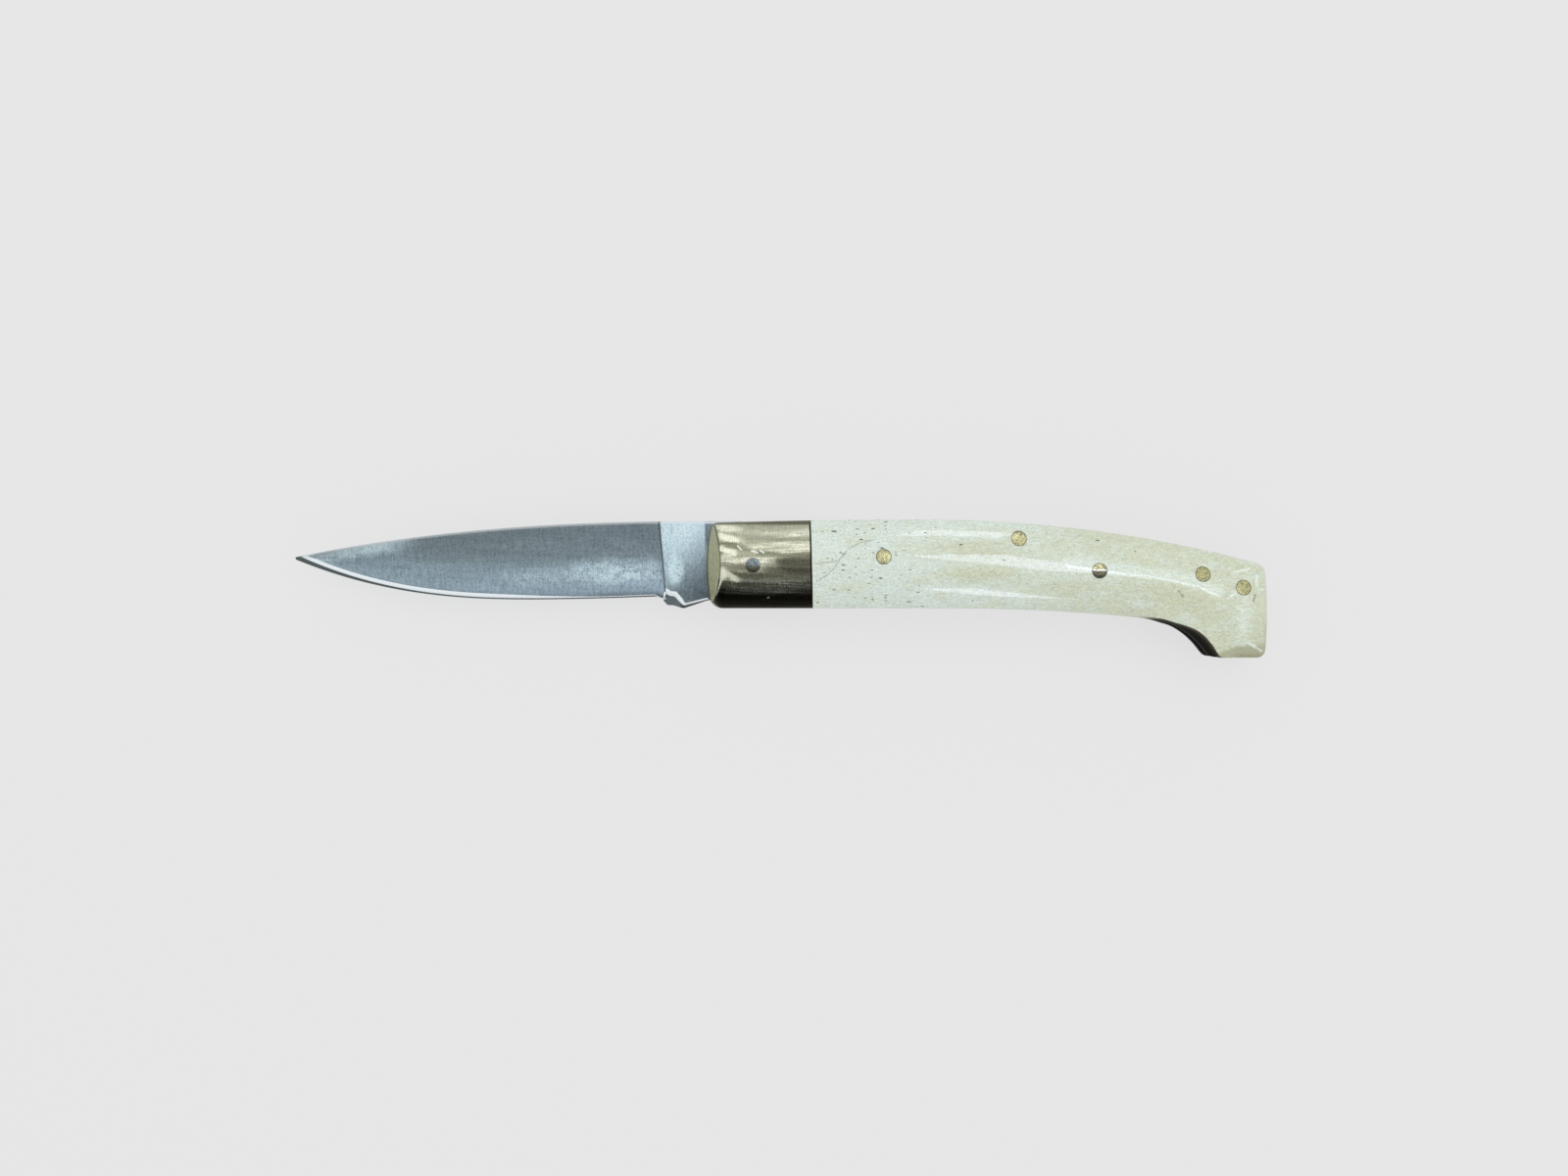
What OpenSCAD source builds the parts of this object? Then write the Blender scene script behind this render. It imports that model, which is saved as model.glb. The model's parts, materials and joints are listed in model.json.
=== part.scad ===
// Slip-joint pocket knife lying open on its right side, mark side up.
// Pieces are drawn about the pivot axis and the mid-plane between the liners,
// tip towards -X and back towards +Y, then set_down() puts them on the ground.

/* [Blade] */
// Distance from the pivot to the tip
blade_reach = 93.9; // [85:0.1:100]
// Thickness of the blade at its tang
blade_t = 2.5; // [2:0.05:3]
// Height of the spine above the pivot
spine_y = 9.05; // [8.6:0.05:9.3]
// How far the spine has dropped at the tip
spine_drop = 7.3; // [5:0.1:7.6]
// How sharply the spine bends down, as an exponent
spine_bend = 2.35; // [1.8:0.05:3]
// Depth of the edge's lowest point below the pivot
edge_y = 6.9; // [6.2:0.05:7]
// Distance from the pivot to the edge's lowest point
edge_low_at = 45.2; // [40:0.1:50]
// How far the edge rises from its lowest point to the tip
edge_rise = 8.2; // [7:0.1:8.7]
// How late the edge sweeps up to the tip, as an exponent
edge_bend = 2.45; // [2.2:0.05:3.2]
// How far the edge rises from its lowest point to the heel
heel_rise = 0.7; // [0.2:0.1:1]
// How far the heel dips below the edge beside it
heel_dip = 0.9; // [0.2:0.1:1]
// Distance from the pivot to the line where the grind stops
plunge_at = 18.4; // [18:0.1:20]
// Lean of that line, as a tangent
plunge_lean = 0.086; // [0:0.01:0.15]
// Width of the sharpening bevel
bevel_w = 0.75; // [0.4:0.05:1.1]
// Thickness at the top of the sharpening bevel
bevel_t = 0.5; // [0.3:0.05:0.7]
// Thickness left at the cutting edge
sharp_t = 0.08; // [0.06:0.01:0.15]
// Hollow of the main grind, as an exponent
hollow = 1.9; // [1:0.1:2.4]
// Share of the spine's thickness that the taper takes by the tip
taper = 0.5; // [0.2:0.05:0.6]

/* [Tang and kick] */
// Height of the tang's flats above and below the pivot
cam_y = 6.1; // [5.8:0.05:6.3]
// Distance from the pivot to the tang's rear face
tang_rear = 6.6; // [6.2:0.1:6.8]
// Radius that rounds the tang's rear corners
tang_r = 7.6; // [7.2:0.1:8]
// Angle that the blade turns to close
close_deg = 174; // [172:0.5:175]
// Distance from the pivot to the kick
kick_at = 14.4; // [14:0.1:15]
// Depth of the kick below the pivot
kick_y = 8.75; // [8.5:0.05:8.9]
// Depth of the flat beside the heel
choil_y = 8.05; // [7.8:0.05:8.2]
// Width of the flat beside the heel
choil_w = 1.1; // [0.6:0.1:1.5]
// Radius of the filed notch in front of the kick
notch_r = 2.4; // [2:0.1:2.6]
// Tilt of the filed notch
notch_tilt = 64; // [56:1:67]

/* [Handle outline] */
// Height of the back's crown above the pivot
back_y = 9.35; // [9.2:0.05:9.8]
// Distance from the pivot to the crown
back_at = 35; // [30:0.5:40]
// Radius of the back in front of the crown
back_front_r = 1500; // [900:10:2000]
// Radius of the back behind the crown
back_rear_r = 260; // [240:5:320]
// Depth of the straight underside below the pivot
under_y = 8.7; // [8.5:0.05:9]
// Distance from the pivot to the end of the straight underside
under_to = 38.7; // [34:0.1:44]
// Radius of the underside between there and the hook
under_r = 420; // [380:10:600]
// Radius of the hook's throat
throat_r = 15.3; // [14:0.1:17]
// Angle at which the throat runs out into a straight
throat_deg = 55; // [50:1:60]
// Distance from the throat's start to the butt
throat_to_butt = 23.2; // [22:0.1:25]
// Depth of the hook below the pivot
hook_y = 18.7; // [17.5:0.1:20]
// Softness of the hook's point
hook_soft = 0.9; // [0.4:0.1:1.5]
// Radius of the butt's upper corner
butt_top_r = 2; // [1:0.1:2.5]
// Radius of the butt's lower corner
butt_low_r = 1.8; // [1:0.1:3]
// Thickness of the hook behind the closed tip
hook_wall = 7.8; // [7:0.1:10]
// Room in front of the closed tip
tip_room = 2.8; // [2:0.1:5]

/* [Liners and backspring] */
// Thickness of each liner
liner_t = 1; // [0.8:0.05:1.3]
// Clearance on each side of the tang
side_gap = 0.05; // [0.03:0.01:0.1]
// Clearance between the tang and the spring
cam_gap = 0.04; // [0.02:0.01:0.08]
// Distance by which the spring's nose reaches past the pivot
nose_past = 2.3; // [1.5:0.1:3]
// Depth of the spring where its pin crosses it
spring_mid_d = 6.2; // [5.6:0.1:6.6]
// Depth of the spring where the rear pins cross it
spring_rear_d = 7.9; // [7.4:0.1:8.4]
// Radius of the spring's inner corner at the hook
spring_corner_r = 3; // [2:0.1:4]

/* [Scales and bolsters] */
// Thickness of a scale or bolster at its crest
crest_t = 4.3; // [3.8:0.1:5]
// Thickness of a scale or bolster at its edge
edge_t = 0.9; // [0.6:0.05:1.4]
// Thickness of a scale at the edge of the hook's throat
throat_t = 3.4; // [2:0.1:4]
// How much the scale is cut back there at its face, where the cut slants
throat_cut = 1.6; // [1:0.1:2.2]
// Fullness of the swell, as an exponent
swell_full = 2.6; // [2:0.1:3.5]
// Roundness of the swell's shoulders, as an exponent
swell_round = 0.62; // [0.5:0.01:0.8]
// How much the flat on the crest takes off the swell
land_cut = 0.06; // [0.02:0.01:0.12]
// Length over which the scale rounds down to the butt
butt_swell = 2.2; // [1.5:0.1:4]
// Distance from the pivot to the bolster's front
bolster_front = 9.5; // [9:0.05:10]
// Distance from the pivot to the joint of bolster and scale
bolster_rear = 11.7; // [11:0.1:14]
// Lean of that joint, as a tangent
joint_lean = 0.025; // [0:0.005:0.05]
// Radius of the bolster's front as seen from its side
front_r = 35; // [28:1:60]
// Slope of the bolster's front face, as a tangent
front_slope = 0.6; // [0.3:0.05:0.8]
// Share of that slope lost at the upper and lower edges
front_fade = 0.5; // [0:0.05:0.8]
// Radius of the bolster's upper front corner
front_top_r = 1; // [0.5:0.1:1.5]
// Radius of the bolster's lower front corner
front_low_r = 2; // [1:0.1:2.5]

/* [Pins] */
// Radius of the pivot pin, the through pins and the rivets
pin_r = 1.5; // [1.2:0.05:1.6]
// Radial clearance of a pin in its hole
pin_fit = 0.01; // [0.005:0.005:0.02]
// Radial clearance of the blade on the pivot pin
pivot_fit = 0.03; // [0.02:0.005:0.08]
// Place of the front rivets: along from the pivot
front_rivet_x = 26.2; // [24:0.1:30]
// Place of the front rivets: up from the pivot
front_rivet_y = 1.7; // [0:0.1:3]
// Place of the spring pin: along from the pivot
spring_pin_x = 53.4; // [48:0.1:56]
// Distance of the spring pin below the back
spring_pin_d = 3.3; // [2.8:0.1:3.4]
// Place of the middle rivets: forward from the butt
mid_rivet_to_butt = 34.4; // [33:0.1:38]
// Place of the middle rivets: up from the pivot
mid_rivet_y = -1.1; // [-2.5:0.1:0]
// Place of the rear pin: forward from the butt
rear_pin_to_butt = 13.6; // [13:0.1:14.5]
// Distance of the rear pin below the back
rear_pin_d = 5.2; // [5:0.1:5.6]
// Place of the butt pin: forward from the butt
butt_pin_to_butt = 5.5; // [5:0.1:6.5]
// Distance of the butt pin below the back
butt_pin_d = 6; // [5.5:0.1:6.5]
// Radius of the studs that hold a bolster
stud_r = 1; // [0.8:0.05:1.2]
// Distance of the front stud above the pivot
stud_up = 5.6; // [5:0.1:6]
// Distance of the rear stud behind the pivot
stud_back = 8.4; // [7.5:0.1:9]
// Brass left over a stud's end
stud_cover = 1.2; // [0.8:0.1:1.6]

/* [Fineness] */
// Stations along a scale
scale_rows = 38; // [24:1:44]
// Stations along a bolster
bolster_rows = 9; // [7:1:12]
// Steps across a scale or bolster
swell_steps = 14; // [10:2:16]
// Stations along the blade
blade_rows = 32; // [24:1:40]
// Steps across the blade's grind
grind_steps = 6; // [4:1:8]

/* [Hidden] */
$fn = 72;

// Thin overlap that keeps cuts clean
eps = 0.01;
// Half of the slot between the liners, which is the spring's half thickness
slot_half = blade_t / 2 + side_gap;
// Distance from the mid-plane to a liner's outer face
liner_out = slot_half + liner_t;
// Distance from the mid-plane to the crest of a scale
crest_out = liner_out + crest_t;

function mix(a, b, t) = a + (b - a) * t;
function turned(p, a) = [p.x * cos(a) - p.y * sin(a), p.x * sin(a) + p.y * cos(a)];
// Drop of a circle of radius r at a distance d from its top
function sag(d, r) = r - sqrt(r * r - d * d);
// What a rounded corner of radius r takes off at a distance d from its end
function corner(d, r) = d >= r ? 0 : sag(r - max(d, 0), r);
// The higher of two curves with their meeting softened over k
function soft_max(a, b, k) = (a + b + sqrt((a - b) * (a - b) + k * k)) / 2;
function smooth(t) = let (c = min(max(t, 0), 1)) c * c * (3 - 2 * c);

// Blade outline. The edge rises towards the heel as a power and dips over a short length there
heel_bend = 1.7;
dip_w = 2;
function spine(x) = spine_y
    - spine_drop * pow(max(-x - bolster_front, 0) / (blade_reach - bolster_front), spine_bend);
function edge(x) = let (
    out = (-x - edge_low_at) / (blade_reach - edge_low_at),
    back = (edge_low_at + x) / (edge_low_at - plunge_at))
    -edge_y + (out > 0 ? edge_rise * pow(out, edge_bend) : heel_rise * pow(back, heel_bend))
    - heel_dip * smooth((x + plunge_at + dip_w) / dip_w);

// Where the closed blade comes to lie
kick_closed = turned([-kick_at, -kick_y], close_deg);
tip_closed = turned([-blade_reach, spine_y - spine_drop], close_deg);
// Height of the tang's closed flat, which meets the spring when the blade is shut
function closed_flat(x) = (x * sin(close_deg) - cam_y) / -cos(close_deg);
flat_closed = turned([-bolster_front, closed_flat(-bolster_front)], close_deg);

// Handle outline
butt_x = tip_closed.x + tip_room + hook_wall;
throat_x = butt_x - throat_to_butt;
throat_from = asin((throat_x - under_to) / under_r);
throat_c = [throat_x - throat_r * sin(throat_from),
    -under_y - sag(throat_x - under_to, under_r) - throat_r * cos(throat_from)];
throat_end = throat_c + throat_r * [sin(throat_deg), cos(throat_deg)];
function back(x) = back_y - sag(x - back_at, x < back_at ? back_front_r : back_rear_r);
function under(x) = x < under_to ? -under_y
    : x < throat_x ? -under_y - sag(x - under_to, under_r)
    : x < throat_end.x ? throat_c.y + throat_r - sag(x - throat_c.x, throat_r)
    : throat_end.y - (x - throat_end.x) * tan(throat_deg);
function top_y(x) = back(x) - corner(butt_x - x, butt_top_r)
    - corner(x + bolster_front, front_top_r);
function low_y(x) = soft_max(under(x), -hook_y, hook_soft) + corner(butt_x - x, butt_low_r)
    + corner(x + bolster_front, front_low_r);
function mid_y(x) = (top_y(x) + low_y(x)) / 2;
function half_h(x) = (top_y(x) - low_y(x)) / 2;

// The scale's edge is thicker along the throat and thins out beside it
throat_fade = 7;
throat_lead = 0.7;
function at_throat(x) = smooth((x - throat_x) / throat_fade + throat_lead)
    * (1 - smooth((x - throat_end.x) / throat_fade));
function edge_at(x, s) = mix(edge_t, throat_t, smooth(-s) * at_throat(x));
// Place and length of the rise of that slanting cut behind the throat's start, and of its
// fall behind the throat's end. It dies out over the face, up to this place across it
cut_rise = [3.5, 8];
cut_fall = [0.6, 2];
cut_dies = -0.3;
function cut_at(x) = throat_cut * smooth((x - throat_x - cut_rise[0]) / cut_rise[1])
    * (1 - smooth((x - throat_end.x - cut_fall[0]) / cut_fall[1]));
function cut_back(x, s) = cut_at(x) * smooth((cut_dies - s) / (1 + cut_dies));
// Swell of a scale or bolster above its liner, s running from -1 at the edge to 1 at the back
function swell(x, s) = edge_t + (min(crest_t, edge_at(x, s) + (crest_t + land_cut - edge_at(x, s))
    * pow(max(1 - pow(abs(s), swell_full), 0), swell_round))
    - edge_t) * sqrt(1 - pow(1 - min((butt_x - x) / butt_swell, 1), 2));
// The same at any point of the handle's side
function swell_at(x, y) = swell(x, (y - mid_y(x)) / half_h(x));

// Ends of the bolster and scale: the front face is curved and sloped, the joint leans
function front_shift(y, z) = sag(y - mid_y(0), front_r)
    + front_slope * z * (1 - front_fade * pow((y - mid_y(0)) / half_h(0), 2));
function joint_shift(y) = -joint_lean * (y - mid_y(0));
// Stations crowd towards the rounded ends
crowding = 1.5;
bolster_xs = [for (i = [0 : bolster_rows])
    mix(-bolster_front, bolster_rear, pow(i / bolster_rows, crowding))];
scale_xs = [for (i = [0 : scale_rows])
    mix(butt_x, bolster_rear, pow(1 - i / scale_rows, crowding))];
// A point of the handle's side: nominal station x, place s across it, height z above the liner
function side_point(x, s, z) = let (
    y = mid_y(x) + half_h(x) * s + (z > 0 ? cut_back(x, s) : 0),
    ahead = (bolster_rear - x) / (bolster_rear + bolster_front),
    behind = (butt_x - x) / (butt_x - bolster_rear))
    [x + (x < bolster_rear ? ahead * front_shift(y, z) + (1 - ahead) * joint_shift(y)
        : behind * joint_shift(y)), y, z];
swell_s = [for (j = [0 : swell_steps]) sin(mix(-90, 90, j / swell_steps))];

// Closed skin over rings of equal length. Its ends are fans from each ring's first point,
// or strips between the ring's two halves where an end isn't flat.
module skin(rings, strips = false) {
    n = len(rings[0]);
    last = (len(rings) - 1) * n;
    end = strips
        ? [for (j = [0 : n / 2 - 2]) each [[j, j + 1, n - 2 - j], [j, n - 2 - j, n - 1 - j]]]
        : [for (j = [1 : n - 2]) [0, j, j + 1]];
    polyhedron([for (r = rings) each r], concat(
        [for (t = end) [t[2], t[1], t[0]]],
        [for (i = [0 : n : last - n], k = [0 : n - 1])
            each let (a = i + k, b = i + (k + 1) % n, c = b + n, d = a + n)
            [[a, b, c], [a, c, d]]],
        [for (t = end) [last + t[0], last + t[1], last + t[2]]]));
}

// Rings of the side pieces: over the swell from the edge to the back, and along the liner
function swell_line(x) = [for (s = swell_s) side_point(x, s, swell(x, s))];
function scale_ring(x) = concat([side_point(x, -1, 0)], swell_line(x), [side_point(x, 1, 0)]);
function bolster_ring(x) = concat(swell_line(x),
    [for (j = [swell_steps : -1 : 0]) side_point(x, swell_s[j], 0)]);

module set_down() {
    translate([(blade_reach - butt_x) / 2, (hook_y - back_y) / 2, crest_out]) children();
}
module right_side() {
    mirror([0, 0, 1]) children();
}

// Outline of the liners, with the bolster's curved front
handle_xs = concat(bolster_xs, [for (i = [1 : scale_rows]) scale_xs[i]]);
module handle_outline() {
    polygon([for (p = concat(
        [for (x = handle_xs) side_point(x, -1, 0)],
        [for (i = [len(handle_xs) - 1 : -1 : 0]) side_point(handle_xs[i], 1, 0)],
        [for (j = [swell_steps - 1 : -1 : 1]) side_point(-bolster_front, swell_s[j], 0)]))
        [p.x, p.y]]);
}

// Places of the pins
front_rivet = [front_rivet_x, front_rivet_y];
spring_pin_at = [spring_pin_x, back(spring_pin_x) - spring_pin_d];
middle_rivet = [butt_x - mid_rivet_to_butt, mid_rivet_y];
rear_pin_at = [butt_x - rear_pin_to_butt, back(butt_x - rear_pin_to_butt) - rear_pin_d];
butt_pin_at = [butt_x - butt_pin_to_butt, back(butt_x - butt_pin_to_butt) - butt_pin_d];
upper_stud_at = [-stud_back / 2, stud_up];
rear_stud_at = [stud_back, -stud_up / 2];
through_pins = [spring_pin_at, rear_pin_at, butt_pin_at];
rivets = [front_rivet, middle_rivet];
studs = [upper_stud_at, rear_stud_at];

module holes(places, r, from, to) {
    for (p = places) translate([p.x, p.y, from]) cylinder(r = r, h = to - from);
}
// Everything below the plane that touches the swell at a place
module under_swell(p, reach) {
    z = liner_out + swell_at(p.x, p.y);
    step = pin_r / 2;
    rise_x = (swell_at(p.x + step, p.y) - swell_at(p.x - step, p.y)) / (2 * step);
    rise_y = (swell_at(p.x, p.y + step) - swell_at(p.x, p.y - step)) / (2 * step);
    lean = atan(norm([rise_x, rise_y]));
    translate([p.x, p.y, z]) rotate(lean > 0 ? atan2(rise_y, rise_x) : 0)
        rotate([0, -lean, 0]) translate([-reach, -reach, -2 * reach]) cube(2 * reach);
}
module through_pin(p) {
    intersection() {
        translate([p.x, p.y, -crest_out]) cylinder(r = pin_r, h = 2 * crest_out);
        under_swell(p, crest_out);
        right_side() under_swell(p, crest_out);
    }
}
module rivet(p) {
    intersection() {
        translate([p.x, p.y, slot_half]) cylinder(r = pin_r, h = crest_out);
        under_swell(p, crest_out);
    }
}
module stud(p) {
    translate([p.x, p.y, slot_half])
        cylinder(r = stud_r, h = liner_t + swell_at(p.x, p.y) - stud_cover);
}

module liner() {
    color("darkkhaki") difference() {
        translate([0, 0, slot_half]) linear_extrude(liner_t) handle_outline();
        holes(concat([[0, 0]], through_pins, rivets), pin_r + pin_fit, 0, crest_out);
        holes(studs, stud_r + pin_fit, 0, crest_out);
    }
}
module bolster() {
    color("tan") difference() {
        translate([0, 0, liner_out])
            skin([for (x = bolster_xs) bolster_ring(x)], strips = true);
        holes([[0, 0]], pin_r + pin_fit, 0, 2 * crest_out);
        for (p = studs)
            holes([p], stud_r + pin_fit, 0, liner_out + swell_at(p.x, p.y) - stud_cover + pin_fit);
    }
}
module scale() {
    color("beige") difference() {
        translate([0, 0, liner_out]) skin([for (x = scale_xs) scale_ring(x)]);
        holes(concat(through_pins, rivets), pin_r + pin_fit, 0, 2 * crest_out);
    }
}

// The ground part stays this much inside the ricasso's faces and reaches this far into it
grind_under = 0.03;
grind_in = 0.8;
// Bend of the taper, and the length in which the point thins and its thinness there
taper_bend = 1.5;
point_l = 3;
point_thin = 0.45;
// Width and depth of the chamfer along the spine
spine_chamfer = [0.19, 0.16];
// Length in which the stations swing from upright to the plunge line's lean
lean_l = 12;
function tall(x) = spine(x) - edge(x);
// Largest share of the blade's height that the sharpening bevel takes, and of the bevel's
// width that the spine's chamfer takes
bevel_most = 0.4;
chamfer_most = 0.25;
function bevel_at(x) = min(bevel_w, tall(x) * bevel_most);
// Half thickness of the ground blade at a height h above its edge
function grind_half(x, h) = let (
    bevel = bevel_at(x),
    out = max(-x - plunge_at, 0) / (blade_reach - plunge_at),
    at_spine = (blade_t / 2 - grind_under) * (1 - taper * pow(out, taper_bend)),
    at_bevel = min(bevel_t / 2, at_spine))
    min(1, point_thin + (x + blade_reach) / point_l)
        * (h <= bevel ? mix(sharp_t / 2, at_bevel, h / bevel)
            : mix(at_bevel, at_spine, pow((h - bevel) / (tall(x) - bevel), hollow)));
function blade_side(x, side) = let (heights = concat([0], [for (j = [0 : grind_steps])
        mix(bevel_at(x), tall(x) - min(spine_chamfer.x, bevel_at(x) * chamfer_most), j / grind_steps)],
        [tall(x)]))
    [for (h = heights) [x - plunge_lean * (edge(x) + h) * smooth(1 + (x + plunge_at) / lean_l),
        edge(x) + h, side * (grind_half(x, h) - (h == tall(x) ? spine_chamfer.y : 0))]];
function blade_ring(x) = let (up = blade_side(x, 1), down = blade_side(x, -1))
    concat(up, [for (j = [len(down) - 1 : -1 : 0]) down[j]]);
function plunge_x(y) = -plunge_at - plunge_lean * y;

shoulder_x = -nose_past - side_gap;
module tang_outline() {
    difference() {
        polygon([[plunge_x(spine_y), spine_y], [shoulder_x, spine_y], [shoulder_x, cam_y],
            [tang_rear, cam_y], [tang_rear, closed_flat(tang_rear)],
            [-bolster_front, closed_flat(-bolster_front)], [-kick_at, -kick_y],
            [plunge_x(-choil_y) + choil_w, -choil_y], [plunge_x(-choil_y), -choil_y]]);
        difference() {
            translate([0, -2 * tang_rear]) square(4 * tang_rear);
            circle(tang_r);
        }
    }
}
// The filed notch starts at the middle of the edge and cuts deeper towards each face
module filed_notch() {
    translate([plunge_x(-choil_y) + choil_w, -choil_y - notch_r / cos(notch_tilt), 0])
        rotate([-notch_tilt, 0, 0]) cylinder(r = notch_r, h = 4 * blade_t);
}

module blade() {
    color("lightslategray") set_down() difference() {
        union() {
            skin([for (i = [0 : blade_rows])
                blade_ring(mix(-blade_reach, grind_in - plunge_at, pow(i / blade_rows, crowding)))]);
            translate([0, 0, -blade_t / 2]) linear_extrude(blade_t) tang_outline();
        }
        holes([[0, 0]], pin_r + pivot_fit, -blade_t, blade_t);
        filed_notch();
        right_side() filed_notch();
    }
}

// The spring follows the back, seats on the tang at its nose and fills the hook's rear
seat_y = cam_y + cam_gap;
kick_seat = [kick_closed.x, kick_closed.y + cam_gap];
arm_from = kick_seat.x + pin_r;
hook_in_x = butt_x - hook_wall;
function spring_d(x) = x < spring_pin_at.x
    ? mix(back(arm_from) - kick_seat.y, spring_mid_d,
        smooth((x - arm_from) / (spring_pin_at.x - pin_r - arm_from)))
    : mix(spring_mid_d, spring_rear_d,
        (x - spring_pin_at.x) / (hook_in_x - spring_corner_r - spring_pin_at.x));
arm_steps = 24;
nose_steps = 8;
corner_step = 15;
corner_x = hook_in_x - spring_corner_r;
corner_y = back(corner_x) - spring_rear_d;
module backspring() {
    xs = [for (x = handle_xs) if (x > arm_from) x];
    color("slategray") set_down() difference() {
        translate([0, 0, -slot_half]) linear_extrude(2 * slot_half) polygon(concat(
            [[-nose_past, seat_y], [flat_closed.x + cam_gap, seat_y],
                [kick_seat.x - pin_r / 3, kick_seat.y]],
            [for (i = [0 : arm_steps]) let (x = mix(arm_from, corner_x, i / arm_steps))
                [x, back(x) - spring_d(x)]],
            [for (a = [corner_step : corner_step : 90])
                [corner_x + spring_corner_r * sin(a), corner_y - spring_corner_r * (1 - cos(a))]],
            [[hook_in_x, low_y(hook_in_x)]],
            [for (x = xs) if (x > hook_in_x) [x, low_y(x)]],
            [for (i = [len(xs) - 1 : -1 : 0]) [xs[i], top_y(xs[i])]],
            [for (i = [nose_steps : -1 : 0])
                let (x = mix(-nose_past, arm_from, i / nose_steps)) [x, back(x)]]));
        holes(through_pins, pin_r + pin_fit, -crest_out, crest_out);
    }
}

module left_liner() { set_down() liner(); }
module right_liner() { set_down() right_side() liner(); }
module left_bolster() { set_down() bolster(); }
module right_bolster() { set_down() right_side() bolster(); }
module left_scale() { set_down() scale(); }
module right_scale() { set_down() right_side() scale(); }
module pivot_pin() { color("silver") set_down() through_pin([0, 0]); }
module spring_pin() { color("goldenrod") set_down() through_pin(spring_pin_at); }
module rear_pin() { color("goldenrod") set_down() through_pin(rear_pin_at); }
module butt_pin() { color("goldenrod") set_down() through_pin(butt_pin_at); }
module left_front_rivet() { color("goldenrod") set_down() rivet(front_rivet); }
module right_front_rivet() { color("goldenrod") set_down() right_side() rivet(front_rivet); }
module left_middle_rivet() { color("goldenrod") set_down() rivet(middle_rivet); }
module right_middle_rivet() { color("goldenrod") set_down() right_side() rivet(middle_rivet); }
module left_bolster_upper_stud() { color("goldenrod") set_down() stud(upper_stud_at); }
module left_bolster_rear_stud() { color("goldenrod") set_down() stud(rear_stud_at); }
module right_bolster_upper_stud() { color("goldenrod") set_down() right_side() stud(upper_stud_at); }
module right_bolster_rear_stud() { color("goldenrod") set_down() right_side() stud(rear_stud_at); }

blade();
backspring();
left_liner();
right_liner();
left_bolster();
right_bolster();
left_scale();
right_scale();
pivot_pin();
spring_pin();
rear_pin();
butt_pin();
left_front_rivet();
right_front_rivet();
left_middle_rivet();
right_middle_rivet();
left_bolster_upper_stud();
left_bolster_rear_stud();
right_bolster_upper_stud();
right_bolster_rear_stud();
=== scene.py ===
"""Looks of an open slip-joint pocket knife, laid out as an add-on and run as a script.

Lengths in the outline rules are millimetres about the pivot's axis and the mid-plane, tip towards
-X and back towards +Y, as in the part's source. place() puts them on the ground, in metres.
"""

import json
import math
from functools import reduce

import bmesh
import bpy
import numpy as np
from bpy.props import FloatProperty, FloatVectorProperty, IntProperty, PointerProperty
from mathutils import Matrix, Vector


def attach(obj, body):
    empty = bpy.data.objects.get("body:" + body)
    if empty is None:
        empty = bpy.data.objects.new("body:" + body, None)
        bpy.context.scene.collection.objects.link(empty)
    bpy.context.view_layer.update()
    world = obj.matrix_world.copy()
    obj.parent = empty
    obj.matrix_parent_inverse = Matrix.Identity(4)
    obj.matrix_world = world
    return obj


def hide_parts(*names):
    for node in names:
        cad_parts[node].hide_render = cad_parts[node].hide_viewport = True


bl_info = {
    "name": "Pocket Knife",
    "version": (1, 0, 0),
    "blender": (4, 5, 0),
    "location": "View3D > Sidebar > Knife",
    "description": "Builds the looks of an open slip-joint pocket knife around its packed frame",
    "category": "Object",
}

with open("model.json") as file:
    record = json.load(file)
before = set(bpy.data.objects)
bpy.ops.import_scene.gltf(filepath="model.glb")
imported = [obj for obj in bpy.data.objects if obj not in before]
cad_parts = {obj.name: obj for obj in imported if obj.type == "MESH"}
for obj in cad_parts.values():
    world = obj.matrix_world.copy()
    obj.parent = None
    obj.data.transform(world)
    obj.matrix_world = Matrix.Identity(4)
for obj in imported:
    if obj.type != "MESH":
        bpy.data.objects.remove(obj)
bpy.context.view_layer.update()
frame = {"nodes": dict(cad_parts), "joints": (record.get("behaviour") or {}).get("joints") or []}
MM = 0.001

# Where the pivot stands in the row frame, in millimetres
PIVOT = tuple(v / MM for v in frame["joints"][0]["pos_m"])

# Blade
BLADE_REACH, BLADE_T = 93.9, 2.5
SPINE_Y, SPINE_DROP, SPINE_BEND = 9.05, 7.3, 2.35
EDGE_Y, EDGE_LOW_AT, EDGE_RISE, EDGE_BEND = 6.9, 45.2, 8.2, 2.45
HEEL_RISE, HEEL_BEND, HEEL_DIP, DIP_W = 0.7, 1.7, 0.9, 2.0
PLUNGE_AT, PLUNGE_LEAN, LEAN_L = 18.4, 0.086, 12.0
HOLLOW, TAPER, TAPER_BEND = 1.9, 0.5, 1.5
GRIND_UNDER, GRIND_IN = 0.03, 0.8
SHARP_T, BEVEL_T = 0.08, 0.5
POINT_L, POINT_THIN = 3.0, 0.45

# Tang and kick
CAM_Y, TANG_REAR, TANG_R, CLOSE_DEG = 6.1, 6.6, 7.6, 174.0
KICK_AT, KICK_Y, CHOIL_Y = 14.4, 8.75, 8.05

# Handle outline
BACK_Y, BACK_AT, BACK_FRONT_R, BACK_REAR_R = 9.35, 35.0, 1500.0, 260.0
UNDER_Y, UNDER_TO, UNDER_R = 8.7, 38.7, 420.0
THROAT_R, THROAT_DEG, THROAT_TO_BUTT = 15.3, 55.0, 23.2
HOOK_Y, HOOK_SOFT, HOOK_WALL, TIP_ROOM = 18.7, 0.9, 7.8, 2.8
BUTT_TOP_R, BUTT_LOW_R = 2.0, 1.8

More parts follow.
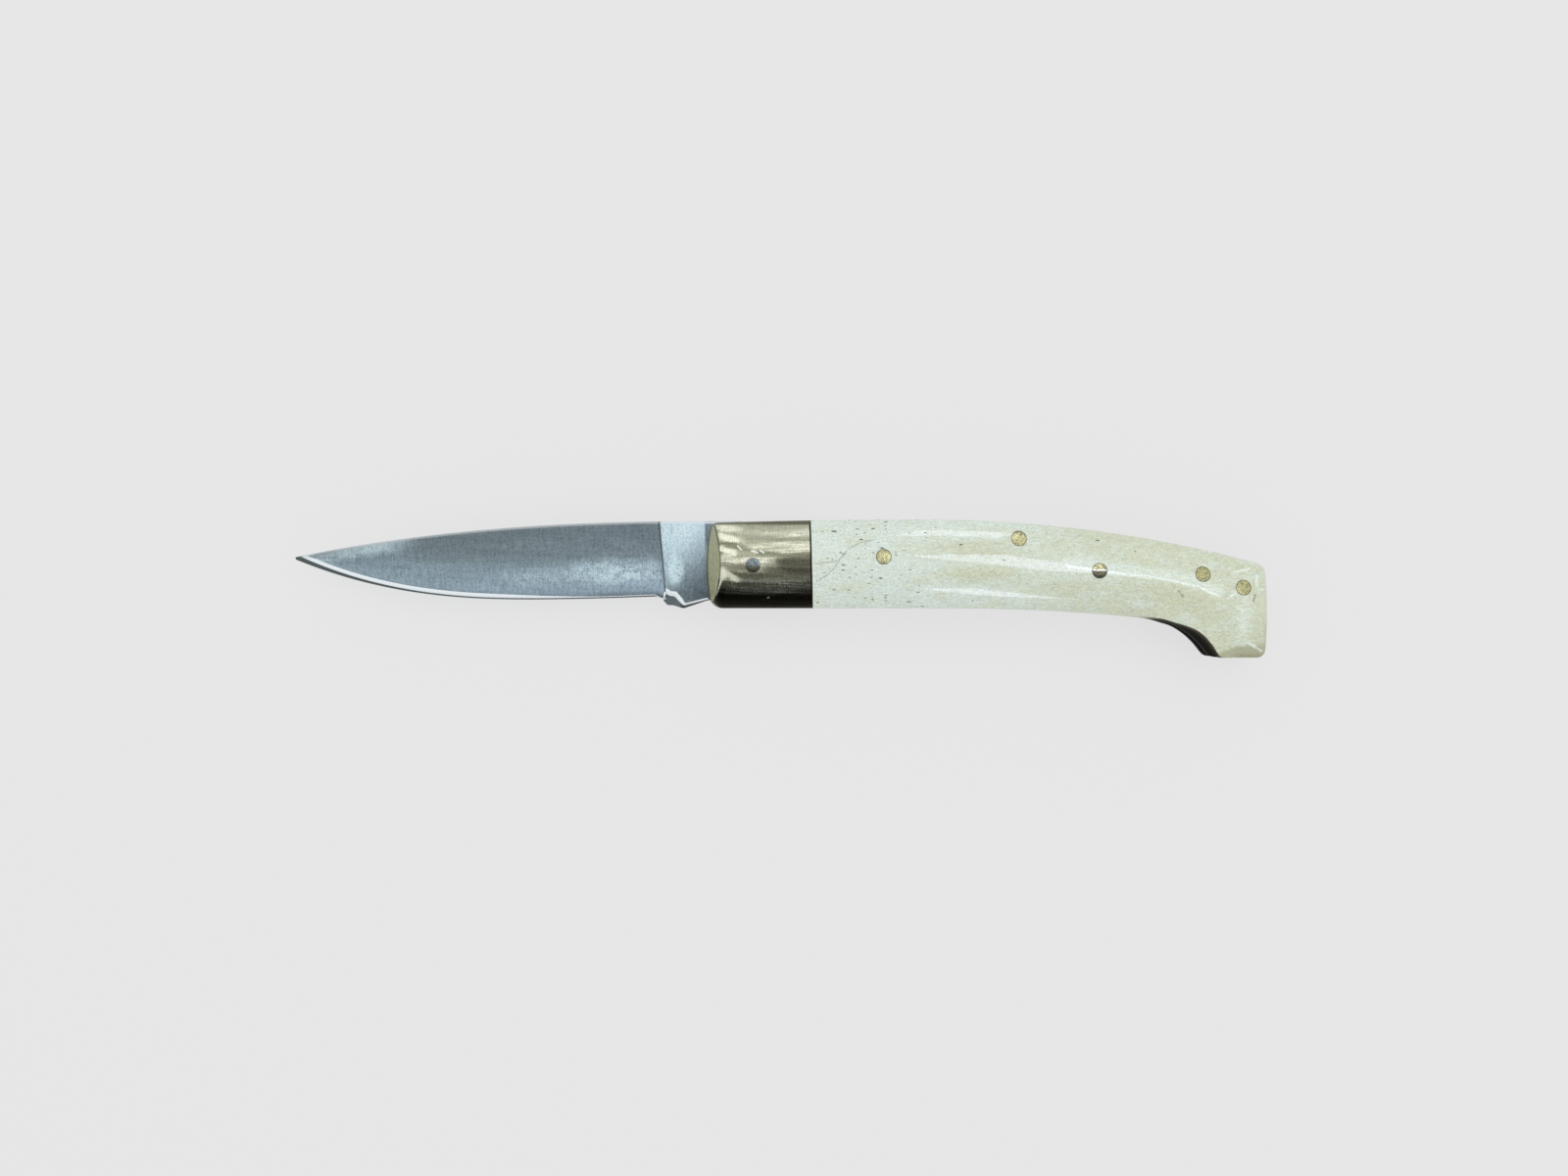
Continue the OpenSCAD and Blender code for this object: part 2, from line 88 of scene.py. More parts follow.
# Liners and backspring
LINER_T, SIDE_GAP, CAM_GAP, NOSE_PAST = 1.0, 0.05, 0.04, 2.3
SPRING_MID_D, SPRING_REAR_D, SPRING_CORNER_R = 6.2, 7.9, 3.0

# Scales and bolsters
CREST_T, EDGE_T, THROAT_T, SWELL_FULL, SWELL_ROUND = 4.3, 0.9, 3.4, 2.6, 0.62
BUTT_SWELL, BOLSTER_FRONT, BOLSTER_REAR, JOINT_LEAN = 2.2, 9.5, 11.7, 0.025
FRONT_R, FRONT_SLOPE, FRONT_FADE, FRONT_TOP_R, FRONT_LOW_R = 35.0, 0.66, 0.5, 1.0, 2.0
THROAT_FADE, THROAT_LEAD = 7.0, 0.7
# The throat's wall slants back: how far, where that rises and falls, and where it dies out
THROAT_CUT, CUT_RISE, CUT_FALL, CUT_DIES = 1.6, (3.5, 8.0), (0.6, 2.0), -0.3

# Pins, the studs that hold the bolsters, and the gap round each in its hole
PIN_R, PIVOT_HOLE_R, STUD_R, HOLE_GAP = 1.5, 1.53, 1.0, 0.01
STUDS = ((-4.2, 5.6), (8.4, -2.8))

SLOT_HALF = BLADE_T / 2 + SIDE_GAP
LINER_OUT = SLOT_HALF + LINER_T
CREST_OUT = LINER_OUT + CREST_T
# The looks' crest lies this far under the ends of the pins
PIN_ROOM = 0.02

# Edges that turn by more than this stay sharp, in degrees
SIDE_SHARP, PIN_SHARP, BLADE_SHARP, PLATE_SHARP = 32.0, 40.0, 24.0, 30.0
# How much a scale's rows and the handle's outline crowd towards their ends
ROW_CROWD, OUTLINE_CROWD = 0.92, 0.85
# Points round a hole, along each side of the handle and round a pin; rings of a pin's end
HOLE_STEPS, OUTLINE_STEPS, ROD_STEPS, ROD_RINGS = 48, 160, 72, 9
# The pins' crown at the middle, as a share of how far they stand proud
CROWN = 1.6
# Widths of the burr and of the honed band, at the heel and at the tip
BURR_W, HONED_W = (0.3, 1.0), (0.2, 0.75)
# The tang's rim: its depth, its width away from the kick, and levels of the notch's slant
RIM_D, THIN_RIM_W, LEVELS = 0.13, 0.06, (0.0, 0.3, 0.7)
# The bright rim narrows between these places behind the kick
RIM_FADE = (-14.6, -13.6)


def both_forms(operation):
    """The method that adds a Math node for an operator, and its reflected form."""
    def plain(self, other):
        return self.maker.math(operation, self, other)

    def reflected(self, other):
        return self.maker.math(operation, other, self)
    return plain, reflected


class Number:
    """A number socket of a node tree. Arithmetic on it adds Math nodes."""

    def __init__(self, maker, socket):
        self.maker, self.socket = maker, socket

    __add__, __radd__ = both_forms("ADD")
    __sub__, __rsub__ = both_forms("SUBTRACT")
    __mul__, __rmul__ = both_forms("MULTIPLY")
    __truediv__, __rtruediv__ = both_forms("DIVIDE")

    def __neg__(self):
        return self * -1.0


def rule(operation, plain):
    """A function that adds a Math node where a value is a socket, or works it out at once."""
    def worked(*values):
        for v in values:
            if isinstance(v, Number):
                return v.maker.math(operation, *values)
        return plain(*values)
    return worked


root = rule("SQRT", lambda v: np.sqrt(np.maximum(v, 0)))
least, most = rule("MINIMUM", np.minimum), rule("MAXIMUM", np.maximum)
size_of, sine = rule("ABSOLUTE", np.abs), rule("SINE", np.sin)
power = rule("POWER", lambda v, e: np.power(np.maximum(v, 0), e))
# 1 where the first number lies past the second, else 0
past = rule("GREATER_THAN", lambda v, w: np.where(v > w, 1.0, 0.0))


def smooth(t):
    t = least(most(t, 0.0), 1.0)
    return t * t * (3.0 - 2.0 * t)


def ramp(v, low, high):
    """Rises smoothly from 0 at low to 1 at high, or falls where low is the greater."""
    return smooth((v - low) / (high - low))


def mix(a, b, t):
    return a + (b - a) * t


def sag(d, r):
    return r - root(r * r - d * d)


def corner(d, r):
    return sag(most(r - most(d, 0.0), 0.0), r)


def soft_max(a, b, k):
    return (a + b + root((a - b) * (a - b) + k * k)) / 2


def span(dx, dy):
    return root(dx * dx + dy * dy)


def spine(x):
    out = most(-x - BOLSTER_FRONT, 0.0) / (BLADE_REACH - BOLSTER_FRONT)
    return SPINE_Y - SPINE_DROP * power(out, SPINE_BEND)


def edge(x):
    out = most((-x - EDGE_LOW_AT) / (BLADE_REACH - EDGE_LOW_AT), 0.0)
    heel = most((EDGE_LOW_AT + x) / (EDGE_LOW_AT - PLUNGE_AT), 0.0)
    return (EDGE_RISE * power(out, EDGE_BEND) + HEEL_RISE * power(heel, HEEL_BEND)
            - EDGE_Y - HEEL_DIP * smooth((x + PLUNGE_AT + DIP_W) / DIP_W))


def plunge_x(y):
    return -PLUNGE_AT - PLUNGE_LEAN * y


CLOSE_COS, CLOSE_SIN = math.cos(math.radians(CLOSE_DEG)), math.sin(math.radians(CLOSE_DEG))


def closed(x, y):
    """Where a point of the open blade lies when the blade is closed."""
    return x * CLOSE_COS - y * CLOSE_SIN, x * CLOSE_SIN + y * CLOSE_COS


def closed_flat(x):
    """The tang's lower flat, on which the spring's nose rests when the blade is closed."""
    return (x * CLOSE_SIN - CAM_Y) / -CLOSE_COS


KICK_CLOSED = closed(-KICK_AT, -KICK_Y)
TIP_CLOSED = closed(-BLADE_REACH, SPINE_Y - SPINE_DROP)
FLAT_CLOSED_X = closed(-BOLSTER_FRONT, closed_flat(-BOLSTER_FRONT))[0]
BUTT_X = TIP_CLOSED[0] + TIP_ROOM + HOOK_WALL
THROAT_X = BUTT_X - THROAT_TO_BUTT
THROAT_FROM = math.asin((THROAT_X - UNDER_TO) / UNDER_R)
THROAT_C = (THROAT_X - THROAT_R * math.sin(THROAT_FROM),
            -UNDER_Y - sag(THROAT_X - UNDER_TO, UNDER_R) - THROAT_R * math.cos(THROAT_FROM))
THROAT_END = (THROAT_C[0] + THROAT_R * math.sin(math.radians(THROAT_DEG)),
              THROAT_C[1] + THROAT_R * math.cos(math.radians(THROAT_DEG)))


def back(x):
    behind = past(x, BACK_AT)
    return BACK_Y - sag(x - BACK_AT, BACK_FRONT_R + (BACK_REAR_R - BACK_FRONT_R) * behind)


def under(x):
    bow = -UNDER_Y - sag(most(x - UNDER_TO, 0.0), UNDER_R)
    throat = THROAT_C[1] + THROAT_R - sag(x - THROAT_C[0], THROAT_R)
    beak = THROAT_END[1] - (x - THROAT_END[0]) * math.tan(math.radians(THROAT_DEG))
    in_throat, in_beak = past(x, THROAT_X), past(x, THROAT_END[0])
    return bow * (1.0 - in_throat) + throat * (in_throat - in_beak) + beak * in_beak


def top_y(x):
    return back(x) - corner(BUTT_X - x, BUTT_TOP_R) - corner(x + BOLSTER_FRONT, FRONT_TOP_R)


def low_y(x):
    return (soft_max(under(x), -HOOK_Y, HOOK_SOFT) + corner(BUTT_X - x, BUTT_LOW_R)
            + corner(x + BOLSTER_FRONT, FRONT_LOW_R))


def rim_at(x, s):
    """Thickness of a scale towards its edge, which is greater along the hook's throat."""
    return mix(EDGE_T, THROAT_T, smooth(-s) * smooth((x - THROAT_X) / THROAT_FADE + THROAT_LEAD)
               * (1.0 - smooth((x - THROAT_END[0]) / THROAT_FADE)))


def swell(x, s, ridge):
    """Height of a scale or bolster over its liner. The crest is a soft ridge, not a flat."""
    rim = rim_at(x, s)
    dome = rim + (CREST_T - PIN_ROOM - rim) * power(1.0 - power(size_of(s), SWELL_FULL), SWELL_ROUND)
    dome = dome - ridge * (root(s * s + RIDGE_W * RIDGE_W) - RIDGE_W) * (1.0 - s * s)
    ending = 1.0 - least((BUTT_X - x) / BUTT_SWELL, 1.0)
    return EDGE_T + (dome - EDGE_T) * root(1.0 - ending * ending)


def cut_at(x):
    """How far the throat's wall is set back at the face of a scale."""
    return THROAT_CUT * smooth((x - THROAT_X - CUT_RISE[0]) / CUT_RISE[1]) * (
        1.0 - smooth((x - THROAT_END[0] - CUT_FALL[0]) / CUT_FALL[1]))


# Half width of the soft crest, as a share of the half height
RIDGE_W = 0.12
MID_FRONT = float(top_y(0.0) + low_y(0.0)) / 2
HALF_FRONT = float(top_y(0.0) - low_y(0.0)) / 2

# Places of the pins about the pivot, in millimetres
SPRING_PIN = (53.4, back(53.4) - 3.3)
REAR_PIN = (BUTT_X - 13.6, back(BUTT_X - 13.6) - 5.2)
BUTT_PIN = (BUTT_X - 5.5, back(BUTT_X - 5.5) - 6.0)
FRONT_RIVET = (26.2, 1.7)
MIDDLE_RIVET = (BUTT_X - 34.4, -1.1)
BRASS_PINS = (FRONT_RIVET, SPRING_PIN, MIDDLE_RIVET, REAR_PIN, BUTT_PIN)


def ground_share(x):
    """How far out along the ground blade a place is, from 0 at the plunge line to 1."""
    return most(-x - PLUNGE_AT, 0.0) / (BLADE_REACH - PLUNGE_AT)


def crowded(share, by):
    """A share of a length, moved so that even steps crowd towards both ends."""
    return share - sine(share * (2 * math.pi)) * (by / (2 * math.pi))


def joint_x(y):
    return BOLSTER_REAR - JOINT_LEAN * (y - MID_FRONT)


def facet_slope(y):
    """Slope of the bolster's front facet, which fades towards its upper and lower ends."""
    fade = (y - MID_FRONT) / HALF_FRONT
    return FRONT_SLOPE * (1.0 - FRONT_FADE * fade * fade)


def shifted(x, y, z=0.0):
    """x where the bolster's curved, bevelled front and the leaning joint have moved it."""
    ahead = most((BOLSTER_REAR - x) / (BOLSTER_REAR + BOLSTER_FRONT), 0.0)
    behind = most((BUTT_X - x) / (BUTT_X - BOLSTER_REAR), 0.0)
    leaning = (y - MID_FRONT) * -JOINT_LEAN
    front = sag(y - MID_FRONT, FRONT_R) + z * facet_slope(y)
    in_front = past(BOLSTER_REAR, x)
    return x + in_front * (ahead * front + (1.0 - ahead) * leaning) + (
        1.0 - in_front) * behind * leaning


class Maker:
    """Adds nodes to one tree."""

    def __init__(self, tree):
        self.tree = tree

    def node(self, kind, setup=None, **sockets):
        """A node of a type. Its setup comes first, then values and links on its sockets.

        A socket is named by its own name with _ for spaces, or by i and its number.
        """
        made = self.tree.nodes.new(kind)
        for name, value in (setup or {}).items():
            if name == "stops":
                elements = made.color_ramp.elements
                while len(elements) < len(value):
                    elements.new(1.0)
                for element, (at, colour) in zip(elements, value):
                    element.position = at
                    element.color = (*colour, 1.0)
            else:
                setattr(made, name, value)
        for name, value in sockets.items():
            numbered = name[0] == "i" and name[1:].isdigit()
            socket = made.inputs[int(name[1:]) if numbered else name.replace("_", " ")]
            value = value.socket if isinstance(value, Number) else value
            if isinstance(value, bpy.types.NodeSocket):
                self.tree.links.new(value, socket)
            elif socket.type == "RGBA" and len(value) == 3:
                socket.default_value = (*value, 1.0)
            else:
                socket.default_value = value
        return made

    def number(self, node, output=0):
        return Number(self, node.outputs[output])

    def math(self, operation, *values):
        return self.number(self.node("ShaderNodeMath", {"operation": operation},
                                     **{f"i{k}": v for k, v in enumerate(values)}))

    def joined(self, x, y, z):
        return self.node("ShaderNodeCombineXYZ", X=x, Y=y, Z=z).outputs[0]

    def parts(self, vector):
        made = self.node("ShaderNodeSeparateXYZ", i0=vector)
        return [self.number(made, k) for k in range(3)]

    def moved(self, vector, x, y):
        return self.node("ShaderNodeVectorMath", {"operation": "ADD"}, i0=vector,
                         i1=self.joined(x, y, 0.0)).outputs[0]

    def stretched(self, vector, by, seed=(0.0, 0.0, 0.0)):
        return self.node("ShaderNodeMapping", Vector=vector, Scale=by, Location=seed).outputs[0]

    def noise(self, vector, by, detail, roughness, seed=(0.0, 0.0, 0.0)):
        """Noise with about so many features in a millimetre along each axis."""
        return self.number(self.node(
            "ShaderNodeTexNoise", Vector=self.stretched(vector, by, seed), Scale=1.0,
            Detail=detail, Roughness=roughness))

    def colour(self, factor, a, b, blend="MIX"):
        made = self.node("ShaderNodeMix", {"data_type": "RGBA", "blend_type": blend},
                         i0=factor, i6=a, i7=b)
        return made.outputs[2]

    def coats(self, shade, *layers):
        """Lays coats of a mask and a colour over a shade, one after another."""
        for mask, colour in layers:
            shade = self.colour(mask, shade, colour)
        return shade

    def toned(self, shade, tone):
        return self.colour(1.0, shade, self.joined(tone, tone, tone), "MULTIPLY")


def place(points):
    """Points about the pivot in millimetres, put in the row frame in metres."""
    return (np.asarray(points, float) + PIVOT) * MM


def settings():
    return bpy.context.scene.knife


def added(name, data):
    """A new object in the scene."""
    made = bpy.data.objects.new(name, data)
    bpy.context.scene.collection.objects.link(made)
    return made


def new_piece(name, points, faces, ends=()):
    """A closed mesh object whose place is in its mesh. Each end is filled between its outlines."""
    mesh = bpy.data.meshes.new(name)
    mesh.from_pydata([tuple(p) for p in place(points)], [], faces)
    work = bmesh.new()
    work.from_mesh(mesh)
    work.verts.ensure_lookup_table()
    for loops in ends:
        around = [work.edges.get((work.verts[a], work.verts[b]))
                  for loop in loops for a, b in zip(loop, loop[1:] + loop[:1])]
        bmesh.ops.triangle_fill(work, use_beauty=True, edges=around)
    work.to_mesh(mesh)
    work.free()
    return tidy(added(name, mesh), PLATE_SHARP)


def tidy(made, sharp_deg):
    """Merges doubles, turns the faces outwards and keeps only the sharp edges sharp."""
    work = bmesh.new()
    work.from_mesh(made.data)
    bmesh.ops.remove_doubles(work, verts=work.verts, dist=1e-6)
    bmesh.ops.dissolve_degenerate(work, edges=work.edges, dist=1e-7)
    bmesh.ops.recalc_face_normals(work, faces=work.faces)
    for face in work.faces:
        face.smooth = True
    for line in work.edges:
        if len(line.link_faces) == 2:
            line.smooth = line.calc_face_angle(0.0) < math.radians(sharp_deg)
    work.to_mesh(made.data)
    work.free()
    made.data.update()
    return made


def dress(made, material, body, slot, *nodes):
    """Gives a finished piece its material and body, and hides the nodes that it stands for. Its slot
    is not used.
    """
    made.data.materials.clear()
    made.data.materials.append(material)
    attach(made, body)
    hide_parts(*nodes)


def baked(made, name):
    """The evaluated mesh of an object as a plain new object; the first object goes."""
    graph = bpy.context.evaluated_depsgraph_get()
    mesh = bpy.data.meshes.new_from_object(made.evaluated_get(graph))
    mesh.name = name
    plain = added(name, mesh)
    bpy.data.objects.remove(made)
    return plain


def new_material(name):
    material = bpy.data.materials.new(name)
    material.use_nodes = True
    material.node_tree.nodes.clear()
    return material, Maker(material.node_tree)


def part_material(name):
    """A material, its maker, the place about the pivot in millimetres and its three numbers."""
    material, m = new_material(name)
    vector = m.stretched(m.node("ShaderNodeTexCoord").outputs["Object"], (1 / MM,) * 3,
                         tuple(-v for v in PIVOT))
    return material, m, vector, m.parts(vector)


def finished(m, colour, roughness, metallic, height, depth):
    """Ends a tree in a Principled shader. A height of 1 is so many millimetres deep."""
    bump = m.node("ShaderNodeBump", Strength=1.0, Distance=depth * MM, Height=height)
    shader = m.node("ShaderNodeBsdfPrincipled", Base_Color=colour, Roughness=roughness,
                    Metallic=metallic, Normal=bump.outputs[0])
    m.node("ShaderNodeOutputMaterial", Surface=shader.outputs[0])


def soft_spot(x, y, at, reach):
    """1 in the middle of an ellipse, falling softly to 0 at its rim."""
    return 1.0 - ramp(span((x - at[0]) / reach[0], (y - at[1]) / reach[1]), 0.15, 1.0)


def off_stretch(x, y, start, end):
    """Distance in millimetres from a straight stretch."""
    dx, dy = end[0] - start[0], end[1] - start[1]
    x, y = x - start[0], y - start[1]
    along = least(most((x * dx + y * dy) / (dx * dx + dy * dy), 0.0), 1.0)
    return span(x - along * dx, y - along * dy)


def nearest(x, y, *paths):
    """Distance in millimetres from the nearest of several broken lines."""
    return reduce(least, [off_stretch(x, y, *ends) for path in paths
                          for ends in zip(path, path[1:])])


def nearest_pin(x, y, places):
    """Distance in millimetres from the middle of the nearest pin."""
    return reduce(least, [span(x - px, y - py) for px, py in places])


def steel_material():
    """Satin steel ground across the blade, with a honed edge and a brushed ricasso, and painted
    highlights and shade that stand in for its reflections.
    """
    hue = settings().colours
    material, m, vector, (x, y, z) = part_material("satin_steel")
    rise = y - edge(x)
    below = spine(x) - edge(x) - rise
    out = ground_share(x)
    ground = 1.0 - ramp(x - plunge_x(y), -0.1, 0.12)
    # Grinding lines run from spine to edge
    lines = m.noise(vector, (7.0, 0.35, 0.6), 3.0, 0.7)
    wide = m.noise(vector, (1.3, 0.3, 0.3), 3.0, 0.6, (3.0, 0.0, 0.0))
    grains = m.noise(vector, (2.6, 2.2, 2.2), 4.0, 0.8)
    clouds = m.noise(vector, (0.5, 0.75, 0.5), 4.0, 0.7, (2.0, 5.0, 0.0))
    long = m.noise(vector, (0.1, 1.5, 0.5), 3.0, 0.6, (1.0, 6.0, 0.0))
    drift = clouds - 0.5
    # Painted shade darkens the hollow's upper part, and a painted highlight brightens a soft patch
    # near the heel
    split = mix(7.8, 6.4, out) + drift * 4.0
    upper = ramp(rise, split - 1.6, split + 1.4) * (1.0 - ramp(out + drift * 0.3, 0.64, 0.84))
    patch = soft_spot(x, y, (-28.0, -1.2), (15.0, 3.8)) + soft_spot(
        x, y, (-44.0, -2.4), (12.0, 2.6)) * 0.4
    patch = least(patch * ramp(clouds + (grains - 0.5) * 0.5, 0.26, 0.62), 1.0)
    # A painted highlight brightens the hollow towards the tip
    tip = ramp(out, 0.64, 0.78) * ramp(below + drift * 4.0, 3.6, 0.8) * ramp(below, 0.03, 0.2)
    shade = m.coats(hue.steel_light, (upper, hue.steel_dark), (patch, hue.painted_steel_highlight),
                    (tip, hue.painted_steel_highlight))
    # Ricasso: painted light, bright above with a painted highlight patch, and painted shade towards
    # the kick and along the bolster
    low = 1.0 - ramp(y + drift * 5.0, -7.2, 8.0)
    ricasso_highlight = least(soft_spot(x, y, (-15.9, -0.9), (2.3, 4.0)) * 1.7, 1.0) * ramp(grains, 0.25, 0.5)
    foot = ramp(y + (grains - 0.5) * 2.0, -3.6, -5.4)
    brushed = (lines - 0.5) * ramp(x, -14.0, -12.0) * ramp(y, 1.0, 4.0)
    # Painted shade in a strip beside the bolster
    strip = ramp(x, -9.98, -9.86) * mix(0.1, 0.75, ramp(y, 2.5, 5.5))
    flat = m.coats(hue.painted_steel_highlight, (low * 0.8, hue.steel_dark), (ricasso_highlight, hue.painted_steel_highlight),
                   (foot * 0.1, hue.painted_steel_shade),
                   (least(most(brushed * 4.0, 0.0), 0.6), hue.steel_dark),
                   (strip, hue.painted_steel_shade))
    shade = m.colour(1.0 - ground, shade, flat)
    shade = m.toned(shade, 1.0 + (lines - 0.5) * 1.1 + (grains - 0.5) * 1.7
                    + (long - 0.5) * 0.45 * ground + (wide - 0.5) * 0.25)
    # A painted highlight runs as a fine bright line along the spine
    crown = ramp(below, 0.6, 0.3) * ramp(below, 0.02, 0.12)
    # Honed edge painted bright as a highlight, and the burr outside it painted dark as shade, which
    # widens towards the tip; painted shade also darkens the tang's lower walls
    burr_w = mix(0.26, 1.1, power(out, 5.0))
    honed_w = mix(0.16, 0.8, ramp(out, 0.15, 0.5)) + burr_w
    honed = ramp(rise, honed_w + 0.04, honed_w - 0.04) * ground * ramp(below, 0.1, 0.25)
    burr = ramp(rise, burr_w + 0.05, burr_w - 0.05) * ground
    burr = most(burr, ramp(size_of(z), 1.12, 1.06) * (1.0 - ground) * ramp(y, -2.0, -4.0))
    # The kick's faces end in a filed rim, painted bright as a highlight, which runs on into the
    # honed edge
    rim_w = mix(0.72, 0.3, ramp(x, *RIM_FADE))
    rim = ramp(nearest(x, y, KICK_NEAR) - rim_w, 0.06, -0.06) * ramp(size_of(z), 1.04, 1.12)
    honed = most(honed, rim * (1.0 - ground))
    honed = most(honed, ramp(nearest(x, y, HEEL_LINE), 0.26, 0.16) * ground)
    # Painted shade on the notch's walls, darkest towards the bolster
    notch = m.colour(ramp(x, -15.4, -14.4), hue.notch, hue.grime_and_shade)
    # Painted shade draws the plunge line as a narrow dark line
    plunge_shade = ramp(size_of(x - plunge_x(y) + 0.12), 0.34, 0.06)
    shade = m.coats(shade, (crown * 0.9, hue.honed), (honed, hue.honed),
                    (burr, m.colour(ground, notch, hue.painted_steel_shade)),
                    (plunge_shade * 0.7 * (1.0 - honed), hue.painted_steel_shade))
    rough = 0.33 + (grains - 0.5) * 0.3 - honed * 0.05
    soft = most(most(patch, tip) * ground * 0.26, ricasso_highlight * (1.0 - ground) * 0.35)
    finished(m, shade, rough, 1.0 - most(soft, most(honed, burr) * 0.75),
             lines * 0.5 + grains * 0.5, 0.03)
    return material


def in_hook(x, y, noise):
    """1 in the hollow of the hook, where shade is painted, fading over the butt."""
    hook = ramp(x, BUTT_X - 31.0, BUTT_X - 25.0) * (1.0 - ramp(y, -3.0, 4.0))
    return hook * ramp(x + (noise - 0.5) * 4.0, BUTT_X - 4.5, BUTT_X - 8.5)


def dark_steel_material():
    """Backspring: oiled, browned steel with fine lines along it, dark seams at its faces and painted
    shade in the hook.
    """
    hue = settings().colours
    material, m, vector, (x, y, z) = part_material("spring_steel")
    lines = m.noise(vector, (0.5, 5.0, 6.0), 3.0, 0.6)
    spots = m.noise(vector, (1.6,) * 3, 3.0, 0.65)
    hook = in_hook(x, y, spots)
    seam = ramp(size_of(z), SLOT_HALF - 0.14, SLOT_HALF - 0.02)
    # Painted shade fills the hook's hollow; the seams at the faces are dark joints
    shade = m.coats(hue.spring, (ramp(spots, 0.42, 0.7), hue.spring_stain),
                    (hook * 0.95, hue.grime_and_shade), (seam * 0.8, hue.grime_and_shade))
    rough = 0.36 + (spots - 0.5) * 0.3 + hook * 0.5
    finished(m, shade, rough, 1.0 - hook * 0.8, lines, 0.01)
    return material


def brass_material(name, seams):
    """Pale brass with lengthwise scratches, painted shade along its lower side and dark seams; the
    bolsters also carry painted highlights and dark reflections.
    """
    hue = settings().colours
    material, m, vector, (x, y, z) = part_material(name)
    # Streaks fan out from the front
    fanned = m.joined(x, y - (x + 9.0) * y * 0.006, z)
    scratches = m.noise(vector, (0.8, 7.0, 5.0), 3.0, 0.75)
    streaks = m.noise(fanned, (0.06, 0.6, 0.5), 2.0, 0.6, (5.0, 0.3, 0.0))
    fine = m.noise(fanned, (0.13, 2.2, 1.0), 4.0, 0.7, (2.0, 0.0, 0.0))
    spots = m.noise(vector, (2.6,) * 3, 4.0, 0.8)
    across = m.noise(vector, (5.0, 0.7, 0.7), 3.0, 0.75, (1.0, 4.0, 0.0))
    bands = streaks * 0.5 + fine * 0.5
    shade = m.coats(hue.dull_brass_and_reflection, (ramp(bands, 0.34, 0.48), hue.brass),
                    (ramp(bands, 0.5, 0.62) * 0.85, hue.pale_brass_and_highlight))
    rough = 0.24 + (scratches - 0.5) * 0.3 + (across - 0.5) * 0.3
    if seams:
        # Painted shade darkens the lower side and the hook's hollow; the seams at the faces are dark
        # joints
        shade_below = ramp(y + (streaks - 0.5) * 3.0, -2.0, -8.0)
        lip = size_of(size_of(z) - (SLOT_HALF + LINER_OUT) / 2)
        hook = in_hook(x, y, spots)
        shade = m.coats(shade, (shade_below * 0.8, hue.grime_and_shade),
                        (ramp(lip, LINER_T / 2 - 0.12, LINER_T / 2 - 0.01) * 0.85, hue.grime_and_shade),
                        (hook * 0.97, hue.grime_and_shade))
        metallic, rough = 1.0 - hook * 0.9, rough + hook * 0.6
    else:
        # Painted light: highlights at the front and over the top half, darker behind the pivot, dark
        # reflections in streaks and painted shade towards the lower edge
        height = size_of(z) - LINER_OUT
        front = sag(y - MID_FRONT, FRONT_R) - BOLSTER_FRONT + height * facet_slope(y)
        on_facet = ramp(x - front, 0.16, 0.04)
        wavy = y + (fine - 0.5) * 1.6 + (across - 0.5) * 0.7
        # Painted dark reflections along the streaks
        dull = ramp(nearest(x, wavy, *STREAKS), 1.1, 0.1) * mix(0.65, 0.45, ramp(y, 2.8, 5.0))
        # Darker behind the pivot
        behind = least(soft_spot(x, wavy, (10.0, 0.1), (8.0, 2.6)) * 1.5, 0.85)
        dark = ramp(nearest(x, wavy, *DARK_STREAKS), 1.2, 0.2) * ramp(across, 0.2, 0.5)
        shade_below = ramp(y + (fine - 0.5) * 7.0 + (across - 0.5) * 1.5, -2.3, -4.3)
        tilted = y + (fine - 0.5) * 1.2 + (across - 0.5) * 0.9
        # Painted highlights: flares behind the front facet, and a spot and a line below it
        flare = ramp(nearest(x, tilted, *FLARES), 0.95, 0.15) * ramp(x, -0.5, -4.8)
        flare = most(least(flare * 1.2, 0.85),
                     least(soft_spot(x, tilted, (-6.3, -1.7), (1.9, 1.9)) * 1.5, 1.0))
        flare = most(flare, ramp(nearest(x, y, FLARE_LINE), 0.3, 0.12))
        # Painted shade blackens the bolster towards its lower edge
        painted_shade = ramp(y + (fine - 0.5) * 3.0, -4.2, -6.2) * mix(0.45, 1.0, ramp(height, 0.9, 1.4))
        # Painted shade draws a dark line along the facet's rear edge and its lower part
        line = most(ramp(size_of(x - front - 0.16), 0.2, 0.05),
                    ramp(height, 0.75, 0.3) * on_facet)
        nicks = ramp(nearest(x, y, *NICKS), 0.18, 0.06) * past(z, 0.0)
        # Painted light and shade, and the brass's own joint and nicks; the top edge is darker
        shade = m.coats(
            shade, (dull, hue.dull_brass_and_reflection), (ramp(y, 4.4, 6.4) * 0.25, hue.pale_brass_and_highlight),
            (behind, hue.tarnish_and_shade), (dark * 0.44, hue.grime_and_shade), (shade_below * 0.52, hue.tarnish_and_shade),
            (flare * 0.92, hue.pale_brass_and_highlight), (painted_shade * 0.97 * (1.0 - flare), hue.grime_and_shade),
            (on_facet, m.colour(ramp(across, 0.2, 0.8) * 0.5, hue.brass_facet, hue.brass)),
            (line * 0.7, hue.grime_and_shade), (ramp(x - joint_x(y), -0.3, -0.12), hue.grime_and_shade),
            (ramp(y, 8.0, 8.5) * 0.9, hue.tarnish_and_shade), (nicks * 0.95, hue.nick_and_highlight))
        metallic = 1.0 - most(on_facet * 0.85, flare * 0.55)
    shade = m.toned(shade, 1.0 + (spots - 0.5) * 0.8 + (scratches - 0.5) * 0.6
                    + (across - 0.5) * 0.9)
    finished(m, shade, rough, metallic, scratches * 0.4 + across * 0.6, 0.04)
    return material


